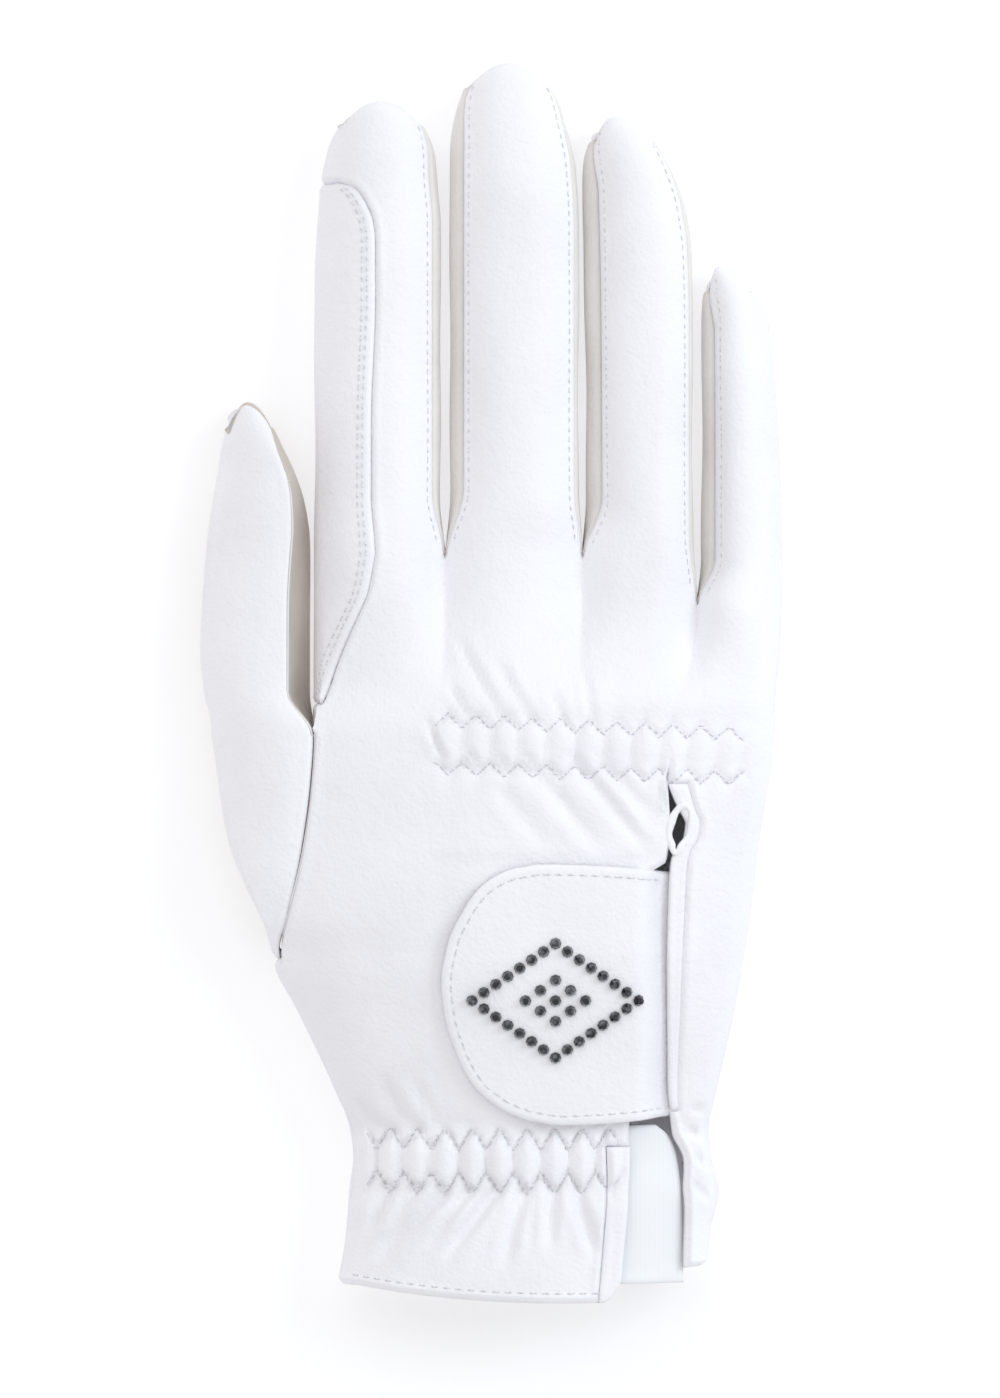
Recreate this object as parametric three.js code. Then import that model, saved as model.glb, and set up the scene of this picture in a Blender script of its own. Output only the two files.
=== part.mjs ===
import * as THREE from 'three';

// A right-hand riding glove lying palm down. +Y runs to the fingertips, +Z comes out of the
// back of the hand, and the thumb is on the -X side. Lengths are in millimetres.
const leather = 1.2;
const seam_gap = 0.3;
const hand_length = 142;
const hand_height = 27;
const hand_roll = 2.5;
const hem_drop = 3.1;
const hem_lift = 5.5;
const finger_gap = 1.6;
const thumb_gap = 0.8;
const finger_roll = 1.6;
const tip_round = 4.4;
const little_notch_drop = 9.1;
const little_side_drop = 12;
const index_width = 24.5;
const index_length = 88;
const index_height = 17;
const middle_width = 25;
const middle_length = 95.3;
const middle_height = 17.5;
const ring_width = 20.6;
const ring_length = 84.9;
const ring_height = 16.5;
const little_width = 15.4;
const little_length = 65;
const little_height = 14.5;
const thumb_width = 20.8;
const thumb_length = 64;
const thumb_height = 17;
const slit_shift = 0;
const shirr_depth = 1.1;
const gather_depth = 0.3;
const tab_length = 43.8;
const tab_width = 50.2;
const tab_thickness = 1.6;
const tab_clearance = 0.4;
const tab_tuck_clearance = 0.9;
const gusset_thickness = 1;
const gusset_clearance = 0.4;
const gusset_length = 30.5;
const stone_width = 2.3;
const stone_height = 1;
const stone_clearance = 0.3;
const motif_width = 32;
const motif_height = 22;
const tab_tuck = 2.4;
const tab_dip_start = 5.9;
const tab_dip_end = 0.9;
const gusset_start = 1.6;

// Places and forms as shares of the sizes above.
const hem_middle = 0.2;
const palm_flat = 0.35;
const right_shoulder = 0.64;
const right_heel = 0.2;
const cuff_roll = 0.35;
const knuckle_start = 0.78;
const web_corner = 0.58;
const web_palm_corner = 0.12;
const web_reach = 0.14;
const palm_corner = 0.2;
const arch_start = 0.8;
const tip_start = 0.86;
const tip_unroll = 0.6;
const tab_place = 0.228;
const tab_root_along = 0.45;
const tab_pinch = 0.07;
const motif_place_x = 0.5;
const motif_place_y = 0.48;
const stone_table = 0.58;
const inner_lozenge = 0.36;
const gusset_left_share = 0.32;

// How finely the pieces are divided.
const FACING_COLUMNS = 2;
const PATCH_COLUMNS = 2;
const web_side_steps = 3;
const outer_side_steps = 4;
const tab_columns = 10;
const gusset_columns = 5;
const STONE_SIDES = 8;
const LOZENGE_STEPS = 7;
const INNER_LOZENGE_STEPS = 2;
const JOINS_PER_MM = 2000;

// How sharply the surfaces turn down towards their edges: 2 is an even bow, more is flatter.
const BOWS = { back: 2.5, finger: 2.3, palm: 3 };

// How far the leather may thicken at a fold or a corner, as the least share of a full fit.
const LEAST_FIT = { fold: 0.7, corner: 0.4 };

// Where each change of form begins and ends: shares of the way along the hand, but across the
// hand for lift.
const CHANGES = {
  hem: { from: 0, to: 0.14 },
  lift: { from: 0.42, to: 0.64 },
  cuff: { from: 0.05, to: 0.35 },
  notches: { from: 0.75, to: 1 },
};
const HEM_SAG = 0.6;
const GATHER_FADE = 0.15;
const APEX_LIMIT = 0.2;
const PATCH_STEPS = [0.35, 0.68];
const ROUNDING = 1e-9;

const LEATHER_COLOR = '#f1f0f3';
const LEATHER_ROUGHNESS = 0.62;
const STRETCH_COLOR = '#f6f6f8';
const STRETCH_ROUGHNESS = 0.85;
const STONE_COLOR = '#4a4b52';
const STONE_ROUGHNESS = 0.12;
const STONE_METALNESS = 0.55;

// Everything is measured from the middle finger's centre line.
const middle_reach = (middle_width + finger_gap) / 2;
const left_reach = middle_reach + finger_gap / 2 + index_width;
const right_reach = middle_reach + ring_width + 1.5 * finger_gap + little_width;
const ring_little_web = middle_reach + ring_width + finger_gap;

// The hand from the hem (along 0) to the notches beside the middle finger (along 1). left and
// right are shares of the hand's reach there, top of its height; shoulder and heel are the
// heights of the left corners as shares of top, and roll says how far the left side curls.
const HAND = [
  { along: 0.0, left: 0.88, right: 0.72, top: 0.84, shoulder: 0.6, heel: 0.2, roll: 1 },
  { along: 0.07, left: 0.84, right: 0.735, top: 0.82, shoulder: 0.6, heel: 0.2, roll: 1 },
  { along: 0.141, left: 0.822, right: 0.768, top: 0.8, shoulder: 0.6, heel: 0.2, roll: 1 },
  { along: 0.179, left: 0.803, right: 0.737, top: 0.79, shoulder: 0.6, heel: 0.2, roll: 1 },
  { along: 0.217, left: 0.82, right: 0.73, top: 0.8, shoulder: 0.6, heel: 0.2, roll: 1 },
  { along: 0.285, left: 0.915, right: 0.765, top: 0.86, shoulder: 0.58, heel: 0.2, roll: 1 },
  { along: 0.38, left: 1.08, right: 0.825, top: 0.94, shoulder: 0.52, heel: 0.2, roll: 0.9 },
  { along: 0.451, left: 1.2, right: 0.858, top: 0.98, shoulder: 0.48, heel: 0.17, roll: 0.4 },
  { along: 0.505, left: 1.14, right: 0.882, top: 0.99, shoulder: 0.62, heel: 0.09, roll: 0 },
  { along: 0.6, left: 1.06, right: 0.912, top: 1.0, shoulder: 0.72, heel: 0.06, roll: 0 },
  { along: 0.69, left: 1.015, right: 0.95, top: 1.0, shoulder: 0.76, heel: 0.07, roll: 0 },
  { along: 0.756, left: 1.0, right: 0.973, top: 0.99, shoulder: 0.75, heel: 0.1, roll: 0 },
  { along: 0.83, left: 1.0, right: 0.978, top: 0.95, shoulder: 0.66, heel: 0.2, roll: 0.7 },
  { along: 0.91, left: 1.0, right: 0.99, top: 0.88, shoulder: 0.64, heel: 0.2, roll: 0.8 },
  { along: 1.0, left: 1.0, right: 1.0, top: 0.8, shoulder: 0.64, heel: 0.2, roll: 0.8 },
];

// How far the thumb's root stands out from the hand, as a share of the thumb's width.
const THUMB_ROOT = [
  { along: 0.451, reach: 0.05 },
  { along: 0.505, reach: 0.23 },
  { along: 0.546, reach: 0.44 },
  { along: 0.6, reach: 0.67 },
  { along: 0.66, reach: 0.82 },
  { along: 0.756, reach: 0.97 },
];

// The slit's two edges, as shares of the hand's right reach, up to its top.
const SLIT = [
  { along: 0.0, left: 0.4, right: 0.645 },
  { along: 0.126, left: 0.428, right: 0.65 },
  { along: 0.179, left: 0.434, right: 0.645 },
  { along: 0.217, left: 0.435, right: 0.605 },
  { along: 0.285, left: 0.437, right: 0.582 },
  { along: 0.45, left: 0.445, right: 0.577 },
  { along: 0.583, left: 0.45, right: 0.585 },
  { along: 0.607, left: 0.565, right: 0.63 },
  { along: 0.63, left: 0.6, right: 0.65 },
  { along: 0.66, left: 0.598, right: 0.625 },
  { along: 0.69, left: 0.575, right: 0.575 },
];

// Heights along every finger as shares of its own height, and how far the palm leather bulges
// past the seam round the tip.
const PROFILE = [
  { along: 0.0, top: 1.26, bottom: 0.0, bulge: 0 },
  { along: 0.14, top: 1.12, bottom: 0.03, bulge: 0 },
  { along: 0.45, top: 1.0, bottom: 0.06, bulge: 0 },
  { along: 0.76, top: 0.97, bottom: 0.03, bulge: 0 },
  { along: 0.86, top: 0.93, bottom: 0.0, bulge: 0.1 },
  { along: 0.92, top: 0.88, bottom: 0.0, bulge: 0.4 },
  { along: 0.965, top: 0.79, bottom: 0.09, bulge: 0.8 },
  { along: 0.985, top: 0.71, bottom: 0.2, bulge: 0.9 },
  { along: 1.0, top: 0.56, bottom: 0.56, bulge: 0 },
];

// Left and right edges as shares of half the finger's width. The last row is where the
// rounded tip begins.
const INDEX_EDGES = [
  { along: 0.0, left: 1.0, right: 1.0 },
  { along: 0.63, left: 1.0, right: 1.0 },
  { along: 0.77, left: 0.95, right: 1.0 },
  { along: 0.86, left: 0.9, right: 0.95 },
  { along: 0.92, left: 0.82, right: 0.91 },
  { along: 0.965, left: 0.73, right: 0.83 },
  { along: 1.0, left: 0.62, right: 0.7 },
];
const MIDDLE_EDGES = [
  { along: 0.0, left: 1.0, right: 1.0 },
  { along: 0.7, left: 1.0, right: 1.0 },
  { along: 0.83, left: 1.0, right: 0.95 },
  { along: 0.875, left: 0.99, right: 0.89 },
  { along: 0.92, left: 0.95, right: 0.8 },
  { along: 0.965, left: 0.87, right: 0.7 },
  { along: 1.0, left: 0.76, right: 0.53 },
];
const RING_EDGES = [
  { along: 0.0, left: 1.0, right: 1.0 },
  { along: 0.6, left: 1.03, right: 1.0 },
  { along: 0.75, left: 1.05, right: 0.97 },
  { along: 0.85, left: 1.07, right: 0.86 },
  { along: 0.9, left: 1.07, right: 0.73 },
  { along: 0.95, left: 1.05, right: 0.52 },
  { along: 1.0, left: 0.95, right: 0.26 },
];
const LITTLE_EDGES = [
  { along: 0.0, left: 1.0, right: 1.0 },
  { along: 0.2, left: 1.0, right: 1.04 },
  { along: 0.45, left: 1.0, right: 0.99 },
  { along: 0.7, left: 1.0, right: 0.87 },
  { along: 0.83, left: 1.0, right: 0.76 },
  { along: 0.9, left: 1.0, right: 0.69 },
  { along: 0.965, left: 0.97, right: 0.5 },
  { along: 1.0, left: 0.92, right: 0.25 },
];
const THUMB_EDGES = [
  { along: 0.0, left: 0.86, right: 1.0 },
  { along: 0.14, left: 1.0, right: 1.0 },
  { along: 0.27, left: 1.07, right: 1.0 },
  { along: 0.44, left: 1.03, right: 1.0 },
  { along: 0.63, left: 0.94, right: 0.98 },
  { along: 0.76, left: 0.84, right: 0.88 },
  { along: 0.86, left: 0.74, right: 0.7 },
  { along: 0.93, left: 0.68, right: 0.5 },
  { along: 1.0, left: 0.6, right: 0.3 },
];

// The closure tab's free end: how far it reaches from its root at each place across it.
const TAB_EDGE = [
  { along: 0.0, reach: 0.5 },
  { along: 0.02, reach: 0.62 },
  { along: 0.07, reach: 0.75 },
  { along: 0.16, reach: 0.865 },
  { along: 0.28, reach: 0.935 },
  { along: 0.42, reach: 0.985 },
  { along: 0.55, reach: 1.0 },
  { along: 0.7, reach: 0.97 },
  { along: 0.83, reach: 0.9 },
  { along: 0.92, reach: 0.82 },
  { along: 0.98, reach: 0.7 },
  { along: 1.0, reach: 0.58 },
];

// The underlap's free edge, as a share of the hand's right reach.
const GUSSET_EDGE = [
  { along: 0.0, right: 0.635 },
  { along: 0.25, right: 0.635 },
  { along: 0.55, right: 0.63 },
  { along: 0.8, right: 0.612 },
  { along: 0.93, right: 0.58 },
  { along: 1.0, right: 0.53 },
];

// The gathers: the cuff's flutes, two rows of elastic at the wrist and two below the knuckles.
// depth is a share of the shirring's depth, and from and to are shares of the hand's reach.
const SHIRRS = [
  { along: 0.06, depth: 0, spread: 0.05, from: -1, to: 0.45 },
  { along: 0.141, depth: 1.0, spread: 0.014, from: -1, to: 1 },
  { along: 0.217, depth: 1.0, spread: 0.014, from: -1, to: 1 },
  { along: 0.712, depth: 0.75, spread: 0.012, from: -0.35, to: 0.9 },
  { along: 0.776, depth: 0.75, spread: 0.012, from: -0.45, to: 0.9 },
];

// The rein patch's edge on the back of the index finger, as a share of its width: in the hand
// rows, and then along the finger.
const PATCH_HAND = [
  { along: 0.8, share: 0.12 },
  { along: 0.845, share: 0.2 },
  { along: 0.89, share: 0.3 },
  { along: 0.93, share: 0.4 },
  { along: 1.0, share: 0.45 },
];
const PATCH_FINGER = [
  { along: 0.0, share: 0.45 },
  { along: 0.45, share: 0.47 },
  { along: 0.76, share: 0.43 },
  { along: 0.86, share: 0.26 },
  { along: 1.0, share: 0.3 },
];

const hand_rows = [
  0, 0.035, 0.07, 0.105, 0.141, 0.16, 0.179, 0.198, 0.217, 0.245, 0.285, 0.335, 0.38, 0.42, 0.451,
  0.505, 0.545, 0.583, 0.607, 0.63, 0.66, 0.69, 0.712, 0.735, 0.756, 0.776, 0.8, 0.845, 0.89, 0.93,
  0.965, 1,
];
const finger_rows = [0, 0.05, 0.14, 0.28, 0.45, 0.62, 0.76, 0.86, 0.92, 0.965, 0.985, 1];
const thumb_start = hand_rows.indexOf(0.451);
const slit_top = hand_rows.indexOf(0.69);
const thumb_notch = hand_rows.indexOf(0.756);
const patch_start = hand_rows.indexOf(0.8);
const patch_end = finger_rows.indexOf(0.86);
const strip_start = hand_rows.indexOf(0.245);
const facing_end = hand_rows.indexOf(0.198);
const last_hand_row = hand_rows.length - 1;

const clamp = THREE.MathUtils.clamp;
const lerp = THREE.MathUtils.lerp;
const smooth = (value, from, to) => THREE.MathUtils.smoothstep(value, from, to);
const change = (value, span) => smooth(value, span.from, span.to);
const bow = (share, power) => Math.abs(2 * share - 1) ** power;

// A smooth curve through a table's column that never overshoots its rows.
function read(table, column, at) {
  const last = table.length - 1;
  const place = clamp(at, table[0].along, table[last].along);
  let row = 0;
  while (row < last - 1 && place > table[row + 1].along) {
    row += 1;
  }
  const slope = (step) => {
    const rise = table[step + 1][column] - table[step][column];
    return rise / (table[step + 1].along - table[step].along);
  };
  const tangent = (knot) => {
    if (knot === 0 || knot === last) {
      return slope(Math.min(knot, last - 1));
    }
    const before = slope(knot - 1);
    const after = slope(knot);
    return before * after <= 0 ? 0 : (2 * before * after) / (before + after);
  };
  const span = table[row + 1].along - table[row].along;
  const t = (place - table[row].along) / span;
  const start = table[row][column];
  const end = table[row + 1][column];
  return start * (1 + 2 * t) * (1 - t) ** 2 + end * t * t * (3 - 2 * t)
    + span * (tangent(row) * t * (1 - t) ** 2 - tangent(row + 1) * t * t * (1 - t));
}

// The outer skin is a net of four-sided faces that share their corners. Each face belongs to
// one piece.
class Skin {
  constructor() {
    this.points = [];
    this.faces = [];
    this.known = new Map();
  }

  point(position) {
    const key = position.toArray().map((value) => Math.round(value * JOINS_PER_MM)).join(' ');
    if (!this.known.has(key)) {
      this.known.set(key, this.points.length);
      this.points.push(position.clone());
    }
    return this.known.get(key);
  }

  face(corners, piece) {
    const ring = corners.map((corner) => this.point(corner));
    const kept = ring.filter((id, place) => id !== ring[(place + 1) % ring.length]);
    if (kept.length > 2) {
      this.faces.push({ ring: kept, piece });
    }
  }

  // Joins two rows of points; pieces names the piece of each step along the lower row.
  join(lower, upper, pieces) {
    if (lower.length === upper.length) {
      for (let step = 0; step + 1 < lower.length; step += 1) {
        this.face([lower[step], lower[step + 1], upper[step + 1], upper[step]], pieces[step]);
      }
      return;
    }
    let low = 0;
    let high = 0;
    while (low + 1 < lower.length || high + 1 < upper.length) {
      const piece = pieces[Math.min(low, lower.length - 2)];
      const next_low = (low + 1) / (lower.length - 1);
      const next_high = (high + 1) / (upper.length - 1);
      if (next_low < next_high + ROUNDING && low + 1 < lower.length) {
        this.face([lower[low], lower[low + 1], upper[high]], piece);
        low += 1;
      } else {
        this.face([lower[low], upper[high + 1], upper[high]], piece);
        high += 1;
      }
    }
  }

  normals() {
    const sums = this.points.map(() => new THREE.Vector3());
    const parts = this.points.map(() => []);
    for (const face of this.faces) {
      const count = face.ring.length;
      face.normal = faceNormal(face.ring.map((id) => this.points[id]));
      face.ring.forEach((id, place) => {
        const here = this.points[id];
        const next = this.points[face.ring[(place + 1) % count]].clone().sub(here);
        const before = this.points[face.ring[(place + count - 1) % count]].clone().sub(here);
        sums[id].addScaledVector(face.normal, next.angleTo(before));
        parts[id].push(face.normal);
      });
    }
    return sums.map((sum, id) => {
      const normal = sum.normalize();
      const fits = parts[id].map((part) => part.dot(normal));
      const mean = fits.reduce((total, fit) => total + fit, 0) / fits.length;
      return { normal, stretch: 1 / clamp(mean, LEAST_FIT.fold, 1) };
    });
  }
}

function faceNormal(corners) {
  const sum = new THREE.Vector3();
  corners.forEach((corner, place) => {
    const next = corners[(place + 1) % corners.length];
    sum.add(new THREE.Vector3().crossVectors(corner, next));
  });
  return sum.normalize();
}

// One piece of the skin as a solid: its outer faces, their offset inside the leather, and walls
// round its edges, which stand back from the seams by half the joint.
function pieceGeometry(skin, normals, piece) {
  const faces = skin.faces.filter((face) => face.piece === piece);
  const used = new Set();
  for (const face of faces) {
    face.ring.forEach((id, place) => used.add(`${id} ${face.ring[(place + 1) % face.ring.length]}`));
  }
  const edges = [];
  const inward = new Map();
  for (const face of faces) {
    face.ring.forEach((id, place) => {
      const next = face.ring[(place + 1) % face.ring.length];
      if (used.has(`${next} ${id}`)) {
        return;
      }
      edges.push([id, next]);
      const along = skin.points[next].clone().sub(skin.points[id]).normalize();
      for (const end of [id, next]) {
        const side = new THREE.Vector3().crossVectors(normals[end].normal, along).normalize();
        inward.set(end, [...(inward.get(end) ?? []), side]);
      }
    });
  }
  const positions = [];
  const outer = new Map();
  const inner = new Map();
  const keep = (list, id, position) => {
    list.set(id, positions.length / 3);
    positions.push(...position.toArray());
  };
  for (const id of new Set(faces.flatMap((face) => face.ring))) {
    const place = skin.points[id].clone();
    const sides = inward.get(id) ?? [];
    if (sides.length > 1) {
      const sum = sides[0].clone().add(sides[1]);
      const fit = Math.max(1 + sides[0].dot(sides[1]), LEAST_FIT.corner);
      place.addScaledVector(sum, seam_gap / 2 / fit);
    }
    keep(outer, id, place);
    const depth = leather * normals[id].stretch;
    keep(inner, id, place.clone().addScaledVector(normals[id].normal, -depth));
  }
  const triangles = [];
  for (const { ring } of faces) {
    for (let corner = 1; corner + 1 < ring.length; corner += 1) {
      const fan = [ring[0], ring[corner], ring[corner + 1]];
      triangles.push(...fan.map((id) => outer.get(id)));
      triangles.push(...fan.reverse().map((id) => inner.get(id)));
    }
  }
  // Neighbouring walls fold along the same diagonal, so that they stay apart where they twist.
  for (const [from, to] of edges) {
    const wall = [outer.get(from), inner.get(from), inner.get(to), outer.get(to)];
    const turned = from < to ? wall : [...wall.slice(1), wall[0]];
    triangles.push(turned[0], turned[1], turned[2], turned[0], turned[2], turned[3]);
  }
  return solidGeometry(positions, triangles);
}

function solidGeometry(positions, triangles) {
  const geometry = new THREE.BufferGeometry();
  geometry.setAttribute('position', new THREE.Float32BufferAttribute(positions, 3));
  geometry.setIndex(triangles);
  geometry.computeVertexNormals();
  return geometry;
}

// A closed sheet between a lower and an upper surface, each a function of two shares.
function sheetGeometry(lowerAt, upperAt, columns, rows) {
  const positions = [];
  for (const surface of [lowerAt, upperAt]) {
    for (let row = 0; row <= rows.length - 1; row += 1) {
      for (let column = 0; column <= columns; column += 1) {
        positions.push(...surface(column / columns, rows[row]).toArray());
      }
    }
  }
  const width = columns + 1;
  const sheet = width * rows.length;
  const at = (row, column) => row * width + column;
  const triangles = [];
  const quad = (a, b, c, d) => triangles.push(a, b, c, a, c, d);
  for (let row = 0; row + 1 < rows.length; row += 1) {
    for (let column = 0; column < columns; column += 1) {
      const ring = [at(row, column), at(row, column + 1), at(row + 1, column + 1), at(row + 1, column)];
      quad(ring[3], ring[2], ring[1], ring[0]);
      quad(...ring.map((id) => id + sheet));
    }
  }
  const rim = [];
  const top = rows.length - 1;
  for (let column = 0; column < columns; column += 1) {
    rim.push([at(0, column), at(0, column + 1)], [at(top, column + 1), at(top, column)]);
  }
  for (let row = 0; row < top; row += 1) {
    rim.push([at(row, columns), at(row + 1, columns)], [at(row + 1, 0), at(row, 0)]);
  }
  for (const [from, to] of rim) {
    quad(from, to, to + sheet, from + sheet);
  }
  return solidGeometry(positions, triangles);
}

// Where the hand's outline and corners are at one place along it.
function handSection(along) {
  const top = hand_height * read(HAND, 'top', along);
  const left = -left_reach * read(HAND, 'left', along);
  const right = right_reach * read(HAND, 'right', along);
  const roll = hand_roll * read(HAND, 'roll', along);
  const right_roll = hand_roll * lerp(cuff_roll, 1, change(along, CHANGES.cuff));
  return {
    along,
    top,
    left,
    right,
    left_corner: left + roll,
    right_corner: right - right_roll,
    shoulders: [read(HAND, 'shoulder', along), right_shoulder],
    heels: [read(HAND, 'heel', along), right_heel],
  };
}

// Height of the back at a point across the hand, before the gathers.
function backHeight(section, x) {
  const { left_corner, right_corner, shoulders, top } = section;
  const share = (x - left_corner) / (right_corner - left_corner);
  const rise = 1 - (shoulders[0] + shoulders[1]) / 2;
  const crown = rise * (1 - bow(share, BOWS.back));
  return top * (lerp(shoulders[0], shoulders[1], share) + crown);
}

function palmHeight(section, x) {
  const { left_corner, right_corner, heels, top } = section;
  const share = (x - left_corner) / (right_corner - left_corner);
  const beyond = Math.max(0, Math.abs(2 * share - 1) - palm_flat) / (1 - palm_flat);
  return top * lerp(heels[0], heels[1], share) * beyond ** BOWS.palm;
}

function gathers(along, x, column) {
  let depth = 0;
  for (const shirr of SHIRRS) {
    const across = x / (x < 0 ? left_reach : right_reach);
    const begun = smooth(across, shirr.from - GATHER_FADE, shirr.from);
    const inside = begun - smooth(across, shirr.to, shirr.to + GATHER_FADE);
    const nearness = Math.exp(-(((along - shirr.along) / shirr.spread) ** 2));
    depth += inside * nearness * (shirr_depth * shirr.depth + gather_depth * (column % 2));
  }
  return depth;
}

function handLevel(along, x) {
  const share = clamp(x / right_reach, -1, 1);
  const hem_fade = 1 - change(along, CHANGES.hem);
  const off_middle = (share - hem_middle) / (1 - hem_middle);
  const hem = hem_drop * (off_middle * off_middle - HEM_SAG) + hem_lift * change(share, CHANGES.lift);
  const drop = x > middle_reach
    ? lerp(0, little_notch_drop, clamp((x - middle_reach) / (ring_little_web - middle_reach), 0, 1))
      + (little_side_drop - little_notch_drop) * smooth(x, ring_little_web, right_reach)
    : 0;
  return hand_length * along + hem * hem_fade - drop * change(along, CHANGES.notches);
}

// The lines that part the fingers run on down the back of the hand; the last is the slit.
function backLines(section) {
  const width = section.right_corner - section.left_corner;
  const ends = handSection(1);
  const end_width = ends.right_corner - ends.left_corner;
  const line = (web) => section.left_corner + (width * (web - ends.left_corner)) / end_width;
  const rise = smooth(section.along, hand_rows[slit_top], 1);
  const slit = (side) => {
    const edge = right_reach * read(SLIT, side, section.along) + slit_shift;
    return lerp(edge, ring_little_web, rise);
  };
  return {
    webs: [section.left_corner, line(-middle_reach), line(middle_reach)],
    slit: [slit('left'), slit('right')],
    end: section.right_corner,
  };
}

function palmLines(section) {
  const width = section.right_corner - section.left_corner;
  const ends = handSection(1);
  const end_width = ends.right_corner - ends.left_corner;
  const webs = [-middle_reach, middle_reach, ring_little_web];
  const lines = webs.map((web) => section.left_corner + (width * (web - ends.left_corner)) / end_width);
  return [section.left_corner, ...lines, section.right_corner];
}

const BACK_SHARES = {
  middle: [0, 0.2, 0.4, 0.6, 0.8, 1],
  ring: [0, 0.17, 0.34, 0.51, 0.66, 0.83, 1],
  little: [0, 0.22, 0.48, 0.74, 1],
  thumb: [0, 0.25, 0.5, 0.75, 1],
};
const PALM_SHARES = [0, 0.3, 0.7, 1];

function indexShares(patch_share) {
  const beyond = PATCH_STEPS.map((step) => lerp(patch_share, 1, step));
  return [0, patch_share / 2, patch_share, ...beyond, 1];
}

// Each finger, with how high its corners stand and how far they roll in from its edges.
const FINGERS = [
  {
    name: 'thumb', edges: THUMB_EDGES, width: thumb_width, height: thumb_height, length: thumb_length,
    center: -left_reach - thumb_gap - thumb_width / 2, apex: -0.2,
    corners: [0.52, 0.9], crown: 0.12, rolls: [1.3, 2.2], tip: [0.42, 0.6],
    shares: () => BACK_SHARES.thumb,
  },
  {
    name: 'index', edges: INDEX_EDGES, width: index_width, height: index_height, length: index_length,
    center: -middle_reach - finger_gap / 2 - index_width / 2, apex: 0.05,
    corners: [0.64, 0.72], crown: 0.32, rolls: [1.3, 0.8], tip: [0.56, 0.56],
    shares: (along) => indexShares(read(PATCH_FINGER, 'share', along)),
  },
  {
    name: 'middle', edges: MIDDLE_EDGES, width: middle_width, height: middle_height,
    length: middle_length, center: 0, apex: -0.09,
    corners: [0.66, 0.76], crown: 0.29, rolls: [1.5, 0.3], tip: [0.56, 0.56],
    shares: () => BACK_SHARES.middle,
  },
  {
    name: 'ring', edges: RING_EDGES, width: ring_width, height: ring_height, length: ring_length,
    center: middle_reach + finger_gap / 2 + ring_width / 2, apex: -0.5,
    corners: [0.62, 0.76], crown: 0.31, rolls: [1.7, 0.3], tip: [0.56, 0.56],
    shares: () => BACK_SHARES.ring,
  },
  {
    name: 'little', edges: LITTLE_EDGES, width: little_width, height: little_height,
    length: little_length, center: ring_little_web + finger_gap / 2 + little_width / 2, apex: -0.72,
    corners: [0.64, 0.64], crown: 0.36, rolls: [1.5, 1.1], tip: [0.56, 0.56],
    shares: () => BACK_SHARES.little,
  },
];

// A finger's section as four rows of points: back from left to right, right side going down,
// palm from right to left, left side going up. notches holds the two places where the finger
// starts, each with its place, its two heights and how far it rolls in from the edge.
function fingerSection(finger, along, notches) {
  const is_tip = along === 1;
  const top = finger.height * read(PROFILE, 'top', along);
  const bottom = finger.height * read(PROFILE, 'bottom', along);
  const leave = is_tip ? 1 : smooth(along, 0, web_reach);
  const half = finger.width / 2;
  const edges = [
    finger.center - half * read(finger.edges, 'left', along),
    finger.center + half * read(finger.edges, 'right', along),
  ];
  const [left, right] = notches.map((notch, side) => {
    const inwards = side === 0 ? 1 : -1;
    const unrolled = tip_unroll * smooth(along, tip_start, 1);
    const roll = finger_roll * finger.rolls[side] * (1 - unrolled);
    return {
      edge: lerp(notch.x - inwards * notch.roll, edges[side], leave),
      x: lerp(notch.x, edges[side] + inwards * roll, leave),
      back: lerp(notch.back, lerp(bottom, top, finger.corners[side]), leave),
      palm: lerp(notch.palm, lerp(bottom, top, palm_corner), leave),
    };
  });
  const tip = notches[0].y + finger.length - tip_round;
  const arch = tip_round * smooth(along, arch_start, 1);
  const apex = (finger.center + half * finger.apex - left.x) / (right.x - left.x);
  const apex_share = clamp(apex, APEX_LIMIT, 1 - APEX_LIMIT);
  const level = (share, bulge) => {
    const off = (share - apex_share) / (share < apex_share ? apex_share : 1 - apex_share);
    const start = lerp(notches[0].y, notches[1].y, share);
    return lerp(start, tip, along) + (arch + bulge) * (1 - off * off);
  };
  const across = (share) => lerp(left.x, right.x, share);
  const crown = finger.crown * (top - bottom);
  const back = finger.shares(along).map((share) => new THREE.Vector3(
    across(share),
    level(share, 0),
    lerp(left.back, right.back, share) + crown * (1 - bow(share, BOWS.finger)),
  ));
  if (is_tip) {
    finger.shares(1).forEach((share, place) => {
      back[place].z = finger.height * lerp(finger.tip[0], finger.tip[1], share);
    });
    return tipSection(back, notches);
  }
  const bulge = finger_roll * read(PROFILE, 'bulge', along);
  const palm = PALM_SHARES.map((share) => new THREE.Vector3(
    across(share),
    level(share, bulge),
    lerp(bottom, lerp(left.palm, right.palm, share), bow(share, BOWS.palm)),
  )).reverse();
  return {
    back,
    right: sideRow(back[back.length - 1], palm[0], right.edge, notches[1].steps),
    palm,
    left: sideRow(palm[palm.length - 1], back[0], left.edge, notches[0].steps),
  };
}

// At the tip the palm meets the back along one seam, and the sides have run out.
function tipSection(back, notches) {
  return {
    back,
    right: new Array(notches[1].steps + 1).fill(back[back.length - 1]),
    palm: [...back].reverse(),
    left: new Array(notches[0].steps + 1).fill(back[0]),
  };
}

// A side of a finger or of the hand, from one corner to the other, swelling out to its edge.
function sideRow(from, to, edge, steps) {
  return Array.from({ length: steps + 1 }, (_, step) => {
    const share = step / steps;
    const point = new THREE.Vector3().lerpVectors(from, to, share);
    const swell = 1 - (2 * share - 1) ** 2;
    point.x += (edge - lerp(from.x, to.x, 0.5)) * swell;
    return point;
  });
}

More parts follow.
